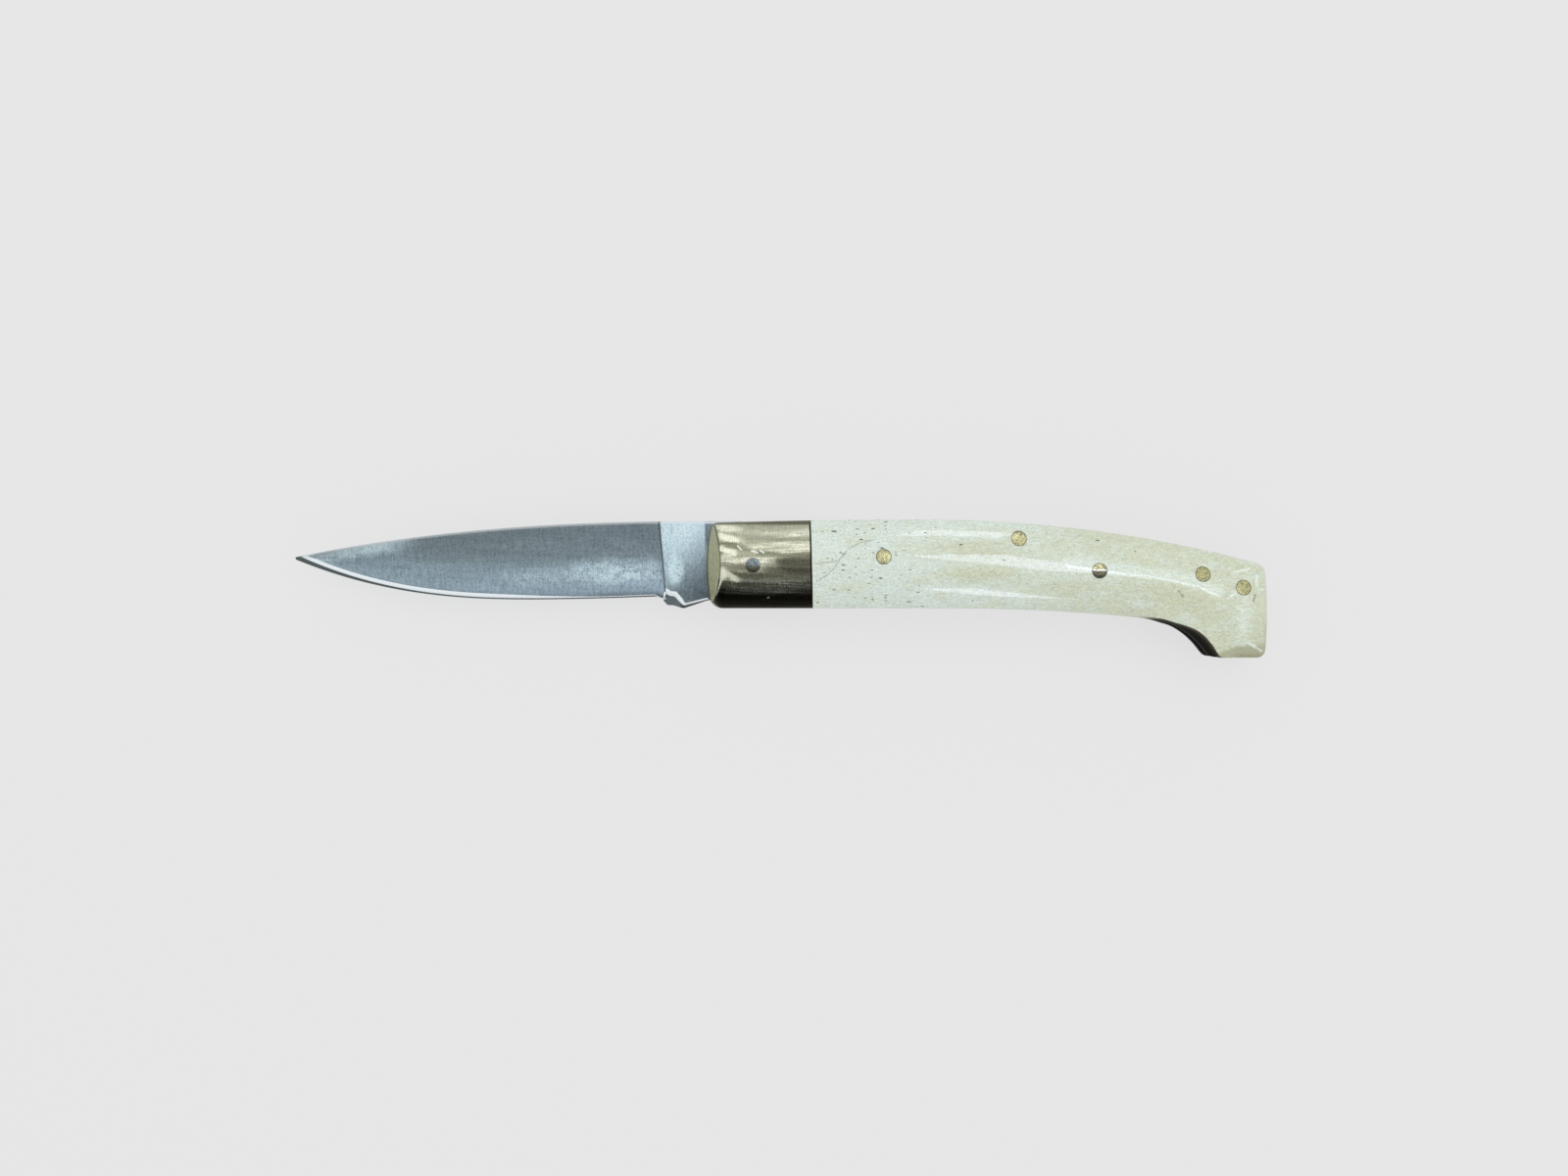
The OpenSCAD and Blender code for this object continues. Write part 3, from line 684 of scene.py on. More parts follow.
def pin_material(name, metal, stain, places, shaded, softness):
    """Pin metal, peened a little uneven, with a dark ring where it meets its hole and painted shade
    on one pin's lower half.
    """
    hue = settings().colours
    material, m, vector, (x, y, _) = part_material(name)
    spots = m.noise(vector, (2.2,) * 3, 3.0, 0.7)
    lines = m.noise(vector, (1.2, 5.0, 1.0), 2.0, 0.6, (2.0, 1.0, 0.0))
    # Painted shade darkens one pin's lower half, as if turned away from the light, under a painted
    # highlight line
    there = past(PIN_R + 0.2, nearest_pin(x, y, (shaded,)))
    level = y - shaded[1] + (spots - 0.5) * 0.4
    shade = m.coats(metal, (ramp(spots, 0.4, 0.68) * 0.75, stain),
                    (there * ramp(level, softness, -softness) * 0.93, hue.tarnish_and_shade))
    if softness < 0.2:
        shade = m.colour(there * ramp(size_of(level - 0.15), 0.18, 0.08), shade, hue.nick_and_highlight)
    ring = ramp(nearest_pin(x, y, places), PIN_R - 0.16, PIN_R - 0.02)
    shade = m.toned(m.colour(ring * 0.75, shade, hue.grime_and_shade), 1.0 + (lines - 0.5) * 0.8)
    finished(m, shade, 0.24 + (spots - 0.5) * 0.3, 1.0, spots * 0.6 + lines * 0.4, 0.06)
    return material


# Streaks that fan out over the bolster, painted as dark reflections
STREAKS = (((-5.9, 6.8), (-3.6, 6.2), (4.3, 5.4), (11.9, 5.5)),
           ((-6.2, 4.5), (-3.6, 3.8), (-0.6, 3.2)), ((1.3, 2.6), (6.2, 2.1), (11.9, 2.2)),
           ((-5.9, 0.2), (-2.6, -0.2), (0.0, -0.4)), ((-4.6, -1.7), (-0.6, -2.0), (11.9, -2.3)))
# Painted highlights: bright flares that fan out behind the bolster's facet
FLARES = (((-6.5, 7.5), (-2.5, 7.2), (2.0, 7.0)), ((-6.5, 5.9), (-3.8, 5.1), (-0.3, 4.6)),
          ((-6.3, 3.3), (-3.8, 2.5)), ((-5.2, -1.7), (-3.2, -2.9)))
# Dark streaks, painted as dark reflections
DARK_STREAKS = (((5.2, 0.9), (8.0, 0.6), (11.9, 0.4)), ((3.0, -0.8), (11.9, -1.2)))
# A painted highlight line below the facet
FLARE_LINE = ((-6.3, -2.8), (-7.4, -5.8))
# Short bright scratches on the left bolster
NICKS = (((-3.1, 3.9), (-2.3, 3.1)), ((-0.3, 2.9), (0.9, 2.5)), ((1.4, 3.0), (2.2, 2.5)),
         ((-4.4, -2.9), (-4.2, -3.8)), ((2.9, -6.5), (3.2, -6.45)))
# Hairline cracks of the front of the left scale
CRACKS = (
    ((24.0, 5.1), (21.3, 4.5), (19.3, 3.4), (18.2, 2.2), (17.2, 0.9), (16.4, -0.5), (15.0, -1.8),
     (12.9, -3.2)),
    ((12.4, 0.3), (14.4, 0.5), (16.9, 0.9)),
)
# Warm patches of the bone: place and reach
WARM = (((44.0, 3.2), (21.0, 3.8)), ((45.5, -1.8), (15.0, 3.2)), ((86.0, -8.0), (15.0, 6.0)),
        ((66.0, 4.5), (14.0, 2.4)), ((62.0, -5.0), (9.0, 2.4)))
# The crest's line towards the butt, painted as a highlight
CREST_LINE = ((63.0, -0.3), (70.8, -1.25), (78.8, -2.15), (84.0, -3.1), (89.5, -4.4), (93.4, -6.1))
# Painted highlight lines over the butt, dark marks near them
FACETS = (((99.6, -15.6), (101.1, -16.5), (102.5, -17.2)), ((96.3, -1.5), (99.9, -0.6)),
          ((96.9, -5.2), (95.2, -6.6)), ((101.3, -2.2), (101.0, -3.8)))
MARKS = (((85.2, -5.2), (85.4, -5.3)), ((85.8, -5.9), (86.1, -6.2)), ((100.6, -5.9), (100.2, -7.1)))
# Marrow pits: density along each axis, seed, and how often they come at the front
PITS = (((0.4, 1.2, 0.3), (0.3, 0.7, 0.0), 0.5), ((0.65, 2.0, 0.4), (7.3, 2.7, 3.0), 0.45))


def bone_material():
    """Polished bone: streaked mottling, warm patches, marrow pits, hairline cracks, aged rear, with
    painted highlights along the crest and over the butt and painted shade on the butt's lower rim
    and in the hook's throat.
    """
    hue = settings().colours
    material, m, vector, (x, y, z) = part_material("bone")
    grain = m.noise(vector, (0.8, 2.6, 2.0), 4.0, 0.7)
    fine = m.noise(vector, (3.0, 5.5, 5.0), 4.0, 0.75, (4.0, 2.0, 1.0))
    cloud = m.noise(vector, (0.12, 0.3, 0.2), 4.0, 0.6, (6.0, 3.0, 1.0))
    blotch = m.noise(vector, (0.2, 0.48, 0.4), 5.0, 0.7, (9.0, 3.0, 5.0))
    left, over_rim = past(z, 0.0), y - low_y(x)
    rear = ramp(x + (cloud - 0.5) * 40.0, 34.0, 84.0)
    warm = reduce(most, [soft_spot(x, y, at, reach) for at, reach in WARM])
    warm = most(warm * ramp(cloud, 0.2, 0.45), ramp(blotch, 0.46, 0.68) * 0.55)
    # Painted shade darkens the butt's lower rim, with specks, and painted highlights draw pale lines
    # over the butt
    rim = ramp(over_rim - mix(0.3, 2.5, ramp(x, 90.0, 99.5)) - (cloud - 0.5) * 2.0
               + (grain - 0.5) * 1.6, 0.6, -0.5) * ramp(x, 90.0, 95.0)
    speckled = ramp(grain * 0.5 + fine * 0.5, 0.38, 0.56)
    brown = ramp(over_rim + (grain - 0.5) * 1.5, 1.2, 0.2) * ramp(x, 95.0, 99.0)
    yellow = ramp(x, BUTT_X - 1.6, BUTT_X - 0.5) * ramp(y, -10.0, -12.5)
    # A painted highlight lights a patch of the butt
    lit = soft_spot(x + (blotch - 0.5) * 6.0, y, (98.3, -11.0), (2.8, 7.0)) * (1.0 - rim)
    facets = nearest(x + (fine - 0.5) * 0.5, y + (blotch - 0.5) * 0.6, *FACETS)
    crest = nearest(x, y + (blotch - 0.5) * 0.9, CREST_LINE)
    highlight_lines = most(ramp(facets, 0.4, 0.05) * ramp(grain, 0.3, 0.5) * 0.8,
                    ramp(crest, 0.3, 0.1) * ramp(fine, 0.3, 0.45))
    # A painted highlight halo runs above the crest's line
    halo = nearest(x, y - 0.9 + (blotch - 0.5) * 1.5, CREST_LINE)
    shade = m.coats(
        hue.bone, (rear, hue.bone_rear), (warm * 0.9, hue.bone_warm),
        (ramp(blotch, 0.54, 0.32) * 0.5, hue.bone_pale),
        (rim * mix(0.2, 1.0, speckled), hue.bone_aged_and_shade),
        (brown * ramp(fine, 0.4, 0.52) * 0.8, hue.bone_brown), (yellow * 0.6, hue.bone_aged_and_shade),
        (lit * ramp(grain, 0.3, 0.55) * 0.6, hue.bone_pale),
        (ramp(halo, 1.9, 0.2) * 0.6, hue.bone_pale), (highlight_lines * left * 0.7, hue.bone_highlight))
    shade = m.toned(shade, 1.0 + (grain - 0.5) * 0.65 + (fine - 0.5) * 1.5 + (blotch - 0.5) * 0.3)
    # Marrow pits are short dashes along the bone, mostly near the front
    warped = m.moved(vector, (grain - 0.5) * 0.9, (fine - 0.5) * 0.5)
    front = 1.0 - ramp(x, 28.0, 42.0)
    dashes = []
    for by, seed, often in PITS:
        cells = m.node("ShaderNodeTexVoronoi", Scale=1.0, Vector=m.stretched(warped, by, seed))
        drawn = m.node("ShaderNodeSeparateColor", i0=cells.outputs["Color"])
        width = m.number(drawn, 1) * 0.13 + 0.1
        dash = 1.0 - ramp(m.number(cells, "Distance"), width * 0.6, width * 1.3)
        dashes.append(dash * past(m.number(drawn, 0), mix(0.985, 1.0 - often, front)))
    pits = reduce(most, dashes)
    bent = m.parts(m.moved(vector, (grain - 0.5) * 1.1, (fine - 0.5) * 0.9))
    cracks = ramp(nearest(bent[0], bent[1], *CRACKS), 0.2, 0.04) * left
    marks = ramp(nearest(x, y, *MARKS), 0.35, 0.1) * left * ramp(fine, 0.35, 0.55)
    ring = ramp(nearest_pin(x, y, BRASS_PINS), PIN_R + 0.14, PIN_R + 0.02)
    # Painted shade darkens the wall of the hook's throat, black at the liner and brown at the face
    height = least(most((size_of(z) - LINER_OUT) / rim_at(x, -1.0), 0.0), 1.0)
    wall = over_rim - cut_at(x) * height
    painted_shade = ramp(x, THROAT_X - 4.0, THROAT_X + 2.0) * ramp(wall, 0.34, 0.2)
    painted_shade = painted_shade * ramp(x + (grain - 0.5) * 1.6, THROAT_END[0] + 3.4, THROAT_END[0] + 2.0)
    shade = m.coats(
        shade, (least(pits * mix(0.55, 1.15, fine), 1.0), hue.pit), (marks * 0.6, hue.pit),
        (cracks * mix(0.1, 0.7, grain), hue.pit), (ring * 0.7, hue.grime_and_shade),
        (ramp(x - joint_x(y), 0.22, 0.08), hue.grime_and_shade),
        (painted_shade, m.colour(power(height, 5.0), hue.grime_and_shade, hue.throat)))
    dull = soft_spot(x, y, (77.7, -7.5), (4.5, 3.0)) * 0.4
    rough = 0.02 + (fine - 0.5) * 0.03 + pits * 0.3 + painted_shade * 0.9 + dull
    finished(m, shade, rough, painted_shade * 0.75,
             grain * 0.12 + fine * 0.08 - pits * 1.2 - cracks * 0.8, 0.006)
    return material


def new_tree(name, *inputs):
    """A Geometry Nodes tree with its named inputs, its maker and its input node."""
    tree = bpy.data.node_groups.new(name, "GeometryNodeTree")
    tree.interface.new_socket("Geometry", in_out="OUTPUT", socket_type="NodeSocketGeometry")
    for label, kind, default in inputs:
        made = tree.interface.new_socket(label, in_out="INPUT", socket_type="NodeSocket" + kind)
        if default is not None:
            made.default_value = default
    m = Maker(tree)
    return tree, m, m.node("NodeGroupInput")


def end_tree(m, given, geometry, x, y, z, sharp_deg, spent=()):
    """Places a tree's points, in millimetres about the pivot, and ends it.

    Its edges are smooth but for the sharp ones, and attributes that are spent go.
    """
    spots = m.joined(*((v + p) * MM for v, p in zip((x, y, z), PIVOT)))
    angle = m.number(m.node("GeometryNodeInputMeshEdgeAngle"))
    steps = [("SetPosition", {}, {"Position": spots}),
             ("SetShadeSmooth", {}, {"Shade_Smooth": True}),
             ("SetShadeSmooth", {"domain": "EDGE"},
              {"Shade_Smooth": past(math.radians(sharp_deg), angle)})]
    steps += [("RemoveAttribute", {}, {"Name": name}) for name in spent]
    steps += [("RealizeInstances", {}, {}),
              ("SetMaterial", {}, {"Material": given.outputs["Material"]})]
    for kind, setup, sockets in steps:
        geometry = m.node("GeometryNode" + kind, setup, i0=geometry, **sockets).outputs[0]
    m.node("NodeGroupOutput", Geometry=geometry)


def swelled_side():
    """Geometry Nodes tree of one scale or bolster: a box bent to the swell's rule."""
    tree, m, given = new_tree(
        "swelled_side", ("From", "Float", BOLSTER_REAR), ("To", "Float", BUTT_X),
        ("Rows", "Int", 200), ("Steps", "Int", 40), ("Ridge", "Float", 0.6),
        ("Edge Round", "Float", 0.12), ("Right Side", "Bool", False),
        ("Material", "Material", None))
    start, end = m.number(given, "From"), m.number(given, "To")
    ridge, rounding = m.number(given, "Ridge"), m.number(given, "Edge Round")
    box = m.node("GeometryNodeMeshCube", Size=(1.0, 1.0, 1.0),
                 Vertices_X=given.outputs["Rows"], Vertices_Y=given.outputs["Steps"], Vertices_Z=2)
    px, py, pz = m.parts(m.node("GeometryNodeInputPosition").outputs[0])
    # Rows crowd towards both ends, steps towards both edges
    x = mix(start, end, crowded(px + 0.5, ROW_CROWD))
    s = sine(py * math.pi)
    top, low = top_y(x), low_y(x)
    y = (top + low) / 2 + (top - low) / 2 * s + cut_at(x) * (pz + 0.5) * smooth(
        (CUT_DIES - s) / (1.0 + CUT_DIES))
    z = swell(x, s, ridge) - corner(x - start, rounding) - corner(
        size_of(x - BOLSTER_REAR), rounding)
    z = z * (pz + 0.5)
    side = 1.0 - 2.0 * m.number(given, "Right Side")
    turned = m.node("GeometryNodeFlipFaces", Mesh=box.outputs[0],
                    Selection=given.outputs["Right Side"])
    end_tree(m, given, turned.outputs[0], shifted(x, y, z), y, (z + LINER_OUT) * side,
             SIDE_SHARP)
    return tree


def flush_pins():
    """Geometry Nodes tree of the pins: a rod on each point, cut to the swell at both ends."""
    tree, m, given = new_tree(
        "flush_pins", ("Geometry", "Geometry", None), ("Radius", "Float", PIN_R),
        ("Proud", "Float", 0.03), ("Ridge", "Float", 0.6), ("Material", "Material", None))

    def store(geometry, name, value):
        return m.node("GeometryNodeStoreNamedAttribute", {"data_type": "FLOAT", "domain": "POINT"},
                      Geometry=geometry, Name=name, Value=value).outputs[0]

    def read(name):
        return m.number(m.node("GeometryNodeInputNamedAttribute", {"data_type": "FLOAT"},
                               Name=name))

    rod = m.node("GeometryNodeMeshCylinder", Vertices=ROD_STEPS, Side_Segments=1,
                 Fill_Segments=ROD_RINGS, Radius=1.0, Depth=2.0).outputs[0]
    local = m.parts(m.node("GeometryNodeInputPosition").outputs[0])
    rod = store(store(rod, "end", local[2]), "off", span(local[0], local[1]))
    radius = m.number(given, "Radius")
    sized = m.node("GeometryNodeTransform", Geometry=rod, Scale=m.joined(radius, radius, 1.0))
    spread = m.node("GeometryNodeInstanceOnPoints", Points=given.outputs["Geometry"],
                    Instance=sized.outputs[0])
    real = m.node("GeometryNodeRealizeInstances", Geometry=spread.outputs[0])
    x, y, _ = m.parts(m.node("GeometryNodeInputPosition").outputs[0])
    top, low = top_y(x), low_y(x)
    s = (y - (top + low) / 2) / ((top - low) / 2)
    dome = m.number(given, "Proud") * (1.0 - read("off") * read("off")) * CROWN
    skin = LINER_OUT + swell(x, s, m.number(given, "Ridge")) + dome
    up = past(read("end"), 0.0)
    outer = up * read("reach_up") + (1.0 - up) * read("reach_down")
    z = outer * least(skin, CREST_OUT) - (1.0 - outer) * SLOT_HALF
    end_tree(m, given, real.outputs[0], x, y, z * (up * 2.0 - 1.0), PIN_SHARP,
             ("end", "off", "reach_up", "reach_down"))
    return tree


def run_tree(name, build, values, base=None):
    """Runs a node tree on an object with its inputs set, and keeps the result as a plain mesh."""
    tree = bpy.data.node_groups.get(build.__name__) or build()
    made = added(name + "_base", base or bpy.data.meshes.new(name + "_base"))
    modifier = made.modifiers.new("Build", "NODES")
    modifier.node_group = tree
    sockets = {i.name: i.identifier for i in tree.interface.items_tree
               if i.item_type == "SOCKET" and i.in_out == "INPUT"}
    for label, value in values.items():
        modifier[sockets[label]] = value
    made.update_tag()
    bpy.context.view_layer.update()
    return baked(made, name)


def outward(points):
    """Unit normals of a closed outline that runs anticlockwise, averaged at its corners."""
    ahead = np.roll(points, -1, 0) - points
    ahead /= np.linalg.norm(ahead, axis=1)[:, None]
    before = np.roll(ahead, 1, 0)
    n = np.stack([ahead[:, 1] + before[:, 1], -ahead[:, 0] - before[:, 0]], 1)
    lean = np.sqrt((n * n).sum(1))
    return n / np.maximum(lean * lean / 2, 0.6)[:, None]


def strips(rows, n):
    """Numbers of two neighbouring points, for each quad between rows of n points round."""
    return [(i * n + k, i * n + (k + 1) % n) for i in range(rows - 1) for k in range(n)]


def plate(name, rings, holes=()):
    """A closed plate through rings of (outline, height), bottom first, with round holes."""
    n, rows = len(rings[0][0]), len(rings)
    points = [(px, py, h) for outline, height in rings
              for (px, py), h in zip(outline, np.broadcast_to(height, n))]
    faces = [(a, b, b + n, a + n) for a, b in strips(rows, n)]
    turn = np.linspace(0, 2 * math.pi, HOLE_STEPS, endpoint=False)
    ends = [[list(range(n))], [list(range((rows - 1) * n, rows * n))]]
    for cx, cy, r in holes:
        first = len(points)
        for end, ring in zip(ends, (rings[0], rings[-1])):
            end.append(list(range(len(points), len(points) + HOLE_STEPS)))
            points += [(cx + r * math.cos(t), cy + r * math.sin(t), float(np.mean(ring[1])))
                       for t in turn]
        faces += [(first + b, first + a, first + a + HOLE_STEPS, first + b + HOLE_STEPS)
                  for a, b in strips(2, HOLE_STEPS)]
    return new_piece(name, points, faces, ends)


def chamfered(outline, low, high, width):
    """Rings of a plate whose two rims are chamfered."""
    inner = outline - outward(outline) * width
    return [(inner, low), (outline, low + width), (outline, high - width), (inner, high)]


def handle_outline():
    """Outline of the liners, anticlockwise from the lower front, with the bolster's curve."""
    share = crowded(np.linspace(0, 1, OUTLINE_STEPS), OUTLINE_CROWD)
    x = mix(-BOLSTER_FRONT, BUTT_X, share)
    low = np.stack([shifted(x, low_y(x)), low_y(x)], 1)
    high = np.stack([shifted(x, top_y(x)), top_y(x)], 1)[::-1]
    y = np.linspace(high[-1, 1], low[0, 1], 18)[1:-1]
    front = np.stack([shifted(np.full_like(y, -BOLSTER_FRONT), y), y], 1)
    rear_y = np.linspace(low[-1, 1], high[0, 1], 8)[1:-1]
    rear = np.stack([np.full_like(rear_y, BUTT_X), rear_y], 1)
    return np.concatenate([low, rear, high, front])


# Where the spring's arm starts, and where its underside turns down into the hook
ARM_FROM = KICK_CLOSED[0] + PIN_R
TURN_FROM = BUTT_X - HOOK_WALL - SPRING_CORNER_R


def spring_depth(x):
    front = back(ARM_FROM) - (KICK_CLOSED[1] + CAM_GAP)
    first = mix(front, SPRING_MID_D, smooth((x - ARM_FROM) / (SPRING_PIN[0] - PIN_R - ARM_FROM)))
    second = mix(SPRING_MID_D, SPRING_REAR_D, (x - SPRING_PIN[0]) / (TURN_FROM - SPRING_PIN[0]))
    return np.where(x < SPRING_PIN[0], first, second)


def spring_outline():
    """The backspring, anticlockwise: along the cam and the arm, round the hook, over the back."""
    seat = CAM_Y + CAM_GAP
    points = [(-NOSE_PAST, seat), (FLAT_CLOSED_X + CAM_GAP, seat),
              (KICK_CLOSED[0] - PIN_R / 3, KICK_CLOSED[1] + CAM_GAP)]
    points += [(x, back(x) - spring_depth(x)) for x in np.linspace(ARM_FROM, TURN_FROM, 60)]
    centre_y = back(TURN_FROM) - SPRING_REAR_D
    points += [(TURN_FROM + SPRING_CORNER_R * math.sin(t),
                centre_y - SPRING_CORNER_R * (1 - math.cos(t)))
               for t in np.radians(np.linspace(0, 90, 12))[1:]]
    hook = mix(TURN_FROM + SPRING_CORNER_R, BUTT_X, np.sin(np.linspace(0, math.pi / 2, 26)))
    points += [(x, low_y(x)) for x in hook]
    top = mix(-NOSE_PAST, BUTT_X, np.sin(np.linspace(math.pi / 2, 0, 90)))
    points += [(x, top_y(x)) for x in top]
    return np.array([(float(a), float(b)) for a, b in points])


def grind_half(x, h, burr_w, honed_w):
    """Half thickness of the ground blade at a height above its edge, with its honed band."""
    tall = spine(x) - edge(x)
    out = ground_share(x)
    at_spine = (BLADE_T / 2 - GRIND_UNDER) * (1 - TAPER * power(out, TAPER_BEND))
    at_burr = np.minimum(BEVEL_T / 2 * 0.8, at_spine * 0.8)
    at_honed = np.minimum(BEVEL_T / 2, at_spine)
    point = np.minimum(1, POINT_THIN + (x + BLADE_REACH) / POINT_L)
    burr = mix(SHARP_T / 2, at_burr, h / burr_w)
    honed = mix(at_burr, at_honed, (h - burr_w) / (honed_w - burr_w))
    main = mix(at_honed, at_spine, power((h - honed_w) / (tall - honed_w), HOLLOW))
    return point * np.where(h <= burr_w, burr, np.where(h <= honed_w, honed, main))


def ground_blade(sizes):
    """The ground part as a loft, from the tip to just inside the ricasso."""
    rows, steps = sizes.blade_rows, sizes.grind_steps
    share = np.linspace(0, 1, rows)
    stations = mix(-BLADE_REACH, GRIND_IN - PLUNGE_AT,
                   np.power(share, 1.6) * 0.6 + share * 0.4)
    points, rim = [], sizes.spine_chamfer / MM
    for x in stations:
        tall = float(spine(x) - edge(x))
        out = float(ground_share(x))
        burr = min(mix(*BURR_W, out ** 5.0), tall * 0.3)
        honed = min(burr + mix(*HONED_W, float(ramp(out, 0.15, 0.5))), tall * 0.55)
        edge_rim = min(rim, tall * 0.1)
        heights = np.concatenate([[0, burr * 0.5, burr, (burr + honed) / 2],
                                  mix(honed, tall - edge_rim, np.linspace(0, 1, steps)), [tall]])
        half = np.array([float(grind_half(x, h, burr, honed)) for h in heights])
        half[-1] = max(half[-1] - edge_rim, half[-1] * 0.5)
        swing = float(smooth(1 + (x + PLUNGE_AT) / LEAN_L))
        y = float(edge(x)) + heights
        px = x - PLUNGE_LEAN * y * swing
        points += [(a, b, c) for a, b, c in zip(px, y, half)]
        points += [(a, b, -c) for a, b, c in zip(px[::-1], y[::-1], half[::-1])]
    n = 2 * (steps + 5)
    faces = [(a, a + n, b + n, b) for a, b in strips(rows, n)]
    for first, flip in ((0, False), ((rows - 1) * n, True)):
        for k in range(n // 2 - 1):
            quad = (first + k, first + k + 1, first + n - 2 - k, first + n - 1 - k)
            faces.append(quad[::-1] if flip else quad)
    return new_piece("ground", points, faces)


# The honed edge's end at the heel
HEEL_LINE = ((-20.2, -6.6), (-18.75, -7.05), (-18.35, -6.5), (-18.0, -5.5))
# Lower outline of the tang from the heel over the kick, at the middle and at its faces
KICK_MIDDLE = ((-18.5, -7.1), (-17.7, -CHOIL_Y), (-17.1, -CHOIL_Y), (-16.4, -8.1),
               (-KICK_AT, -KICK_Y), (-BOLSTER_FRONT, closed_flat(-BOLSTER_FRONT)))
KICK_NEAR = ((-18.25, -6.4), (-17.9, -5.35), (-17.1, -5.9), (-16.1, -5.95), (-14.35, -8.05),
             (-BOLSTER_FRONT, closed_flat(-BOLSTER_FRONT) + 0.3))


def tang_bottom(level):
    """Lower outline of the tang at a height off the mid-plane, from the plunge line to its rear.

    The filed notch slants from the middle of the edge up to each face.
    """
    share = level / (BLADE_T / 2)
    corners = mix(np.array(KICK_MIDDLE), np.array(KICK_NEAR), share)
    points = [corners[0]]
    for k in range(1, len(corners) - 1):
        # Each corner is rounded by a short curve
        a, c, b = corners[k - 1], corners[k], corners[k + 1]
        start, end = mix(c, a, 0.3), mix(c, b, 0.3 if k < 4 else 0.06)
        points += [(1 - t) ** 2 * start + 2 * t * (1 - t) * c + t * t * end
                   for t in np.linspace(0, 1, 7)]
    return np.array(points + [corners[-1]])


def tang_outline(level):
    """Outline of the tang at a height off the mid-plane, anticlockwise."""
    shoulder = -NOSE_PAST - SIDE_GAP
    bottom = tang_bottom(level)
    lower = np.linspace(-BOLSTER_FRONT, TANG_REAR, 12)[1:]
    low = [(x, closed_flat(x)) for x in lower if x * x + closed_flat(x) ** 2 < TANG_R ** 2]
    angle = math.asin(CAM_Y / TANG_R)
    a0 = math.atan2(low[-1][1], math.sqrt(TANG_R ** 2 - low[-1][1] ** 2))
    turn = np.linspace(a0, angle, 22)
    rear = [(min(TANG_R * math.cos(t), TANG_REAR), TANG_R * math.sin(t)) for t in turn]
    top = [(shoulder + 0.02, CAM_Y), (shoulder, CAM_Y + 0.02), (shoulder, SPINE_Y - 0.02),
           (shoulder - 0.02, SPINE_Y)]
    x0 = float(plunge_x(SPINE_Y))
    top += [(x, SPINE_Y) for x in np.linspace(shoulder - 0.6, x0, 12)]
    side_y = np.linspace(SPINE_Y, bottom[0, 1], 14)[1:-1]
    side = [(float(plunge_x(y)), y) for y in side_y]
    return np.concatenate([bottom, low, rear, top, side])


def tang(sizes):
    half = BLADE_T / 2
    near = tang_outline(half - RIM_D)
    away = outward(near)
    # Only the lower rim, from the heel to the bolster, carries the wide bright chamfer
    count = len(tang_bottom(0.0))
    width = np.full(len(near), THIN_RIM_W)
    width[:count] = sizes.kick_chamfer / MM * mix(1.0, 0.5, ramp(near[:count, 0], *RIM_FADE))
    inner = near - away * width[:, None]
    upper = [(tang_outline(v), v) for v in LEVELS] + [(near, half - RIM_D), (inner, half)]
    rings = [(outline, -v) for outline, v in upper[:0:-1]] + upper
    return plate("tang", rings, [(0.0, 0.0, PIVOT_HOLE_R)])


def joined_solids(first, second, name):
    """One closed mesh of two overlapping solids."""
    modifier = first.modifiers.new("Union", "BOOLEAN")
    modifier.operation, modifier.solver, modifier.object = "UNION", "EXACT", second
    bpy.context.view_layer.update()
    made = baked(first, name)
    bpy.data.objects.remove(second)
    return tidy(made, BLADE_SHARP)


def colour(name, value, what):
    return FloatVectorProperty(name=name, description=what, subtype="COLOR", size=3,
                               min=0.0, max=1.0, default=value)


def length(name, value, what, low=0.0, high=0.02):
    return FloatProperty(name=name, description=what, default=value * MM, min=low, max=high,
                         subtype="DISTANCE", unit="LENGTH")


def level(name, value, what, high, **more):
    return FloatProperty(name=name, description=what, default=value, min=0.0, max=high, **more)


def count(name, value, what, low, high):
    return IntProperty(name=name, description=what, default=value, min=low, max=high)


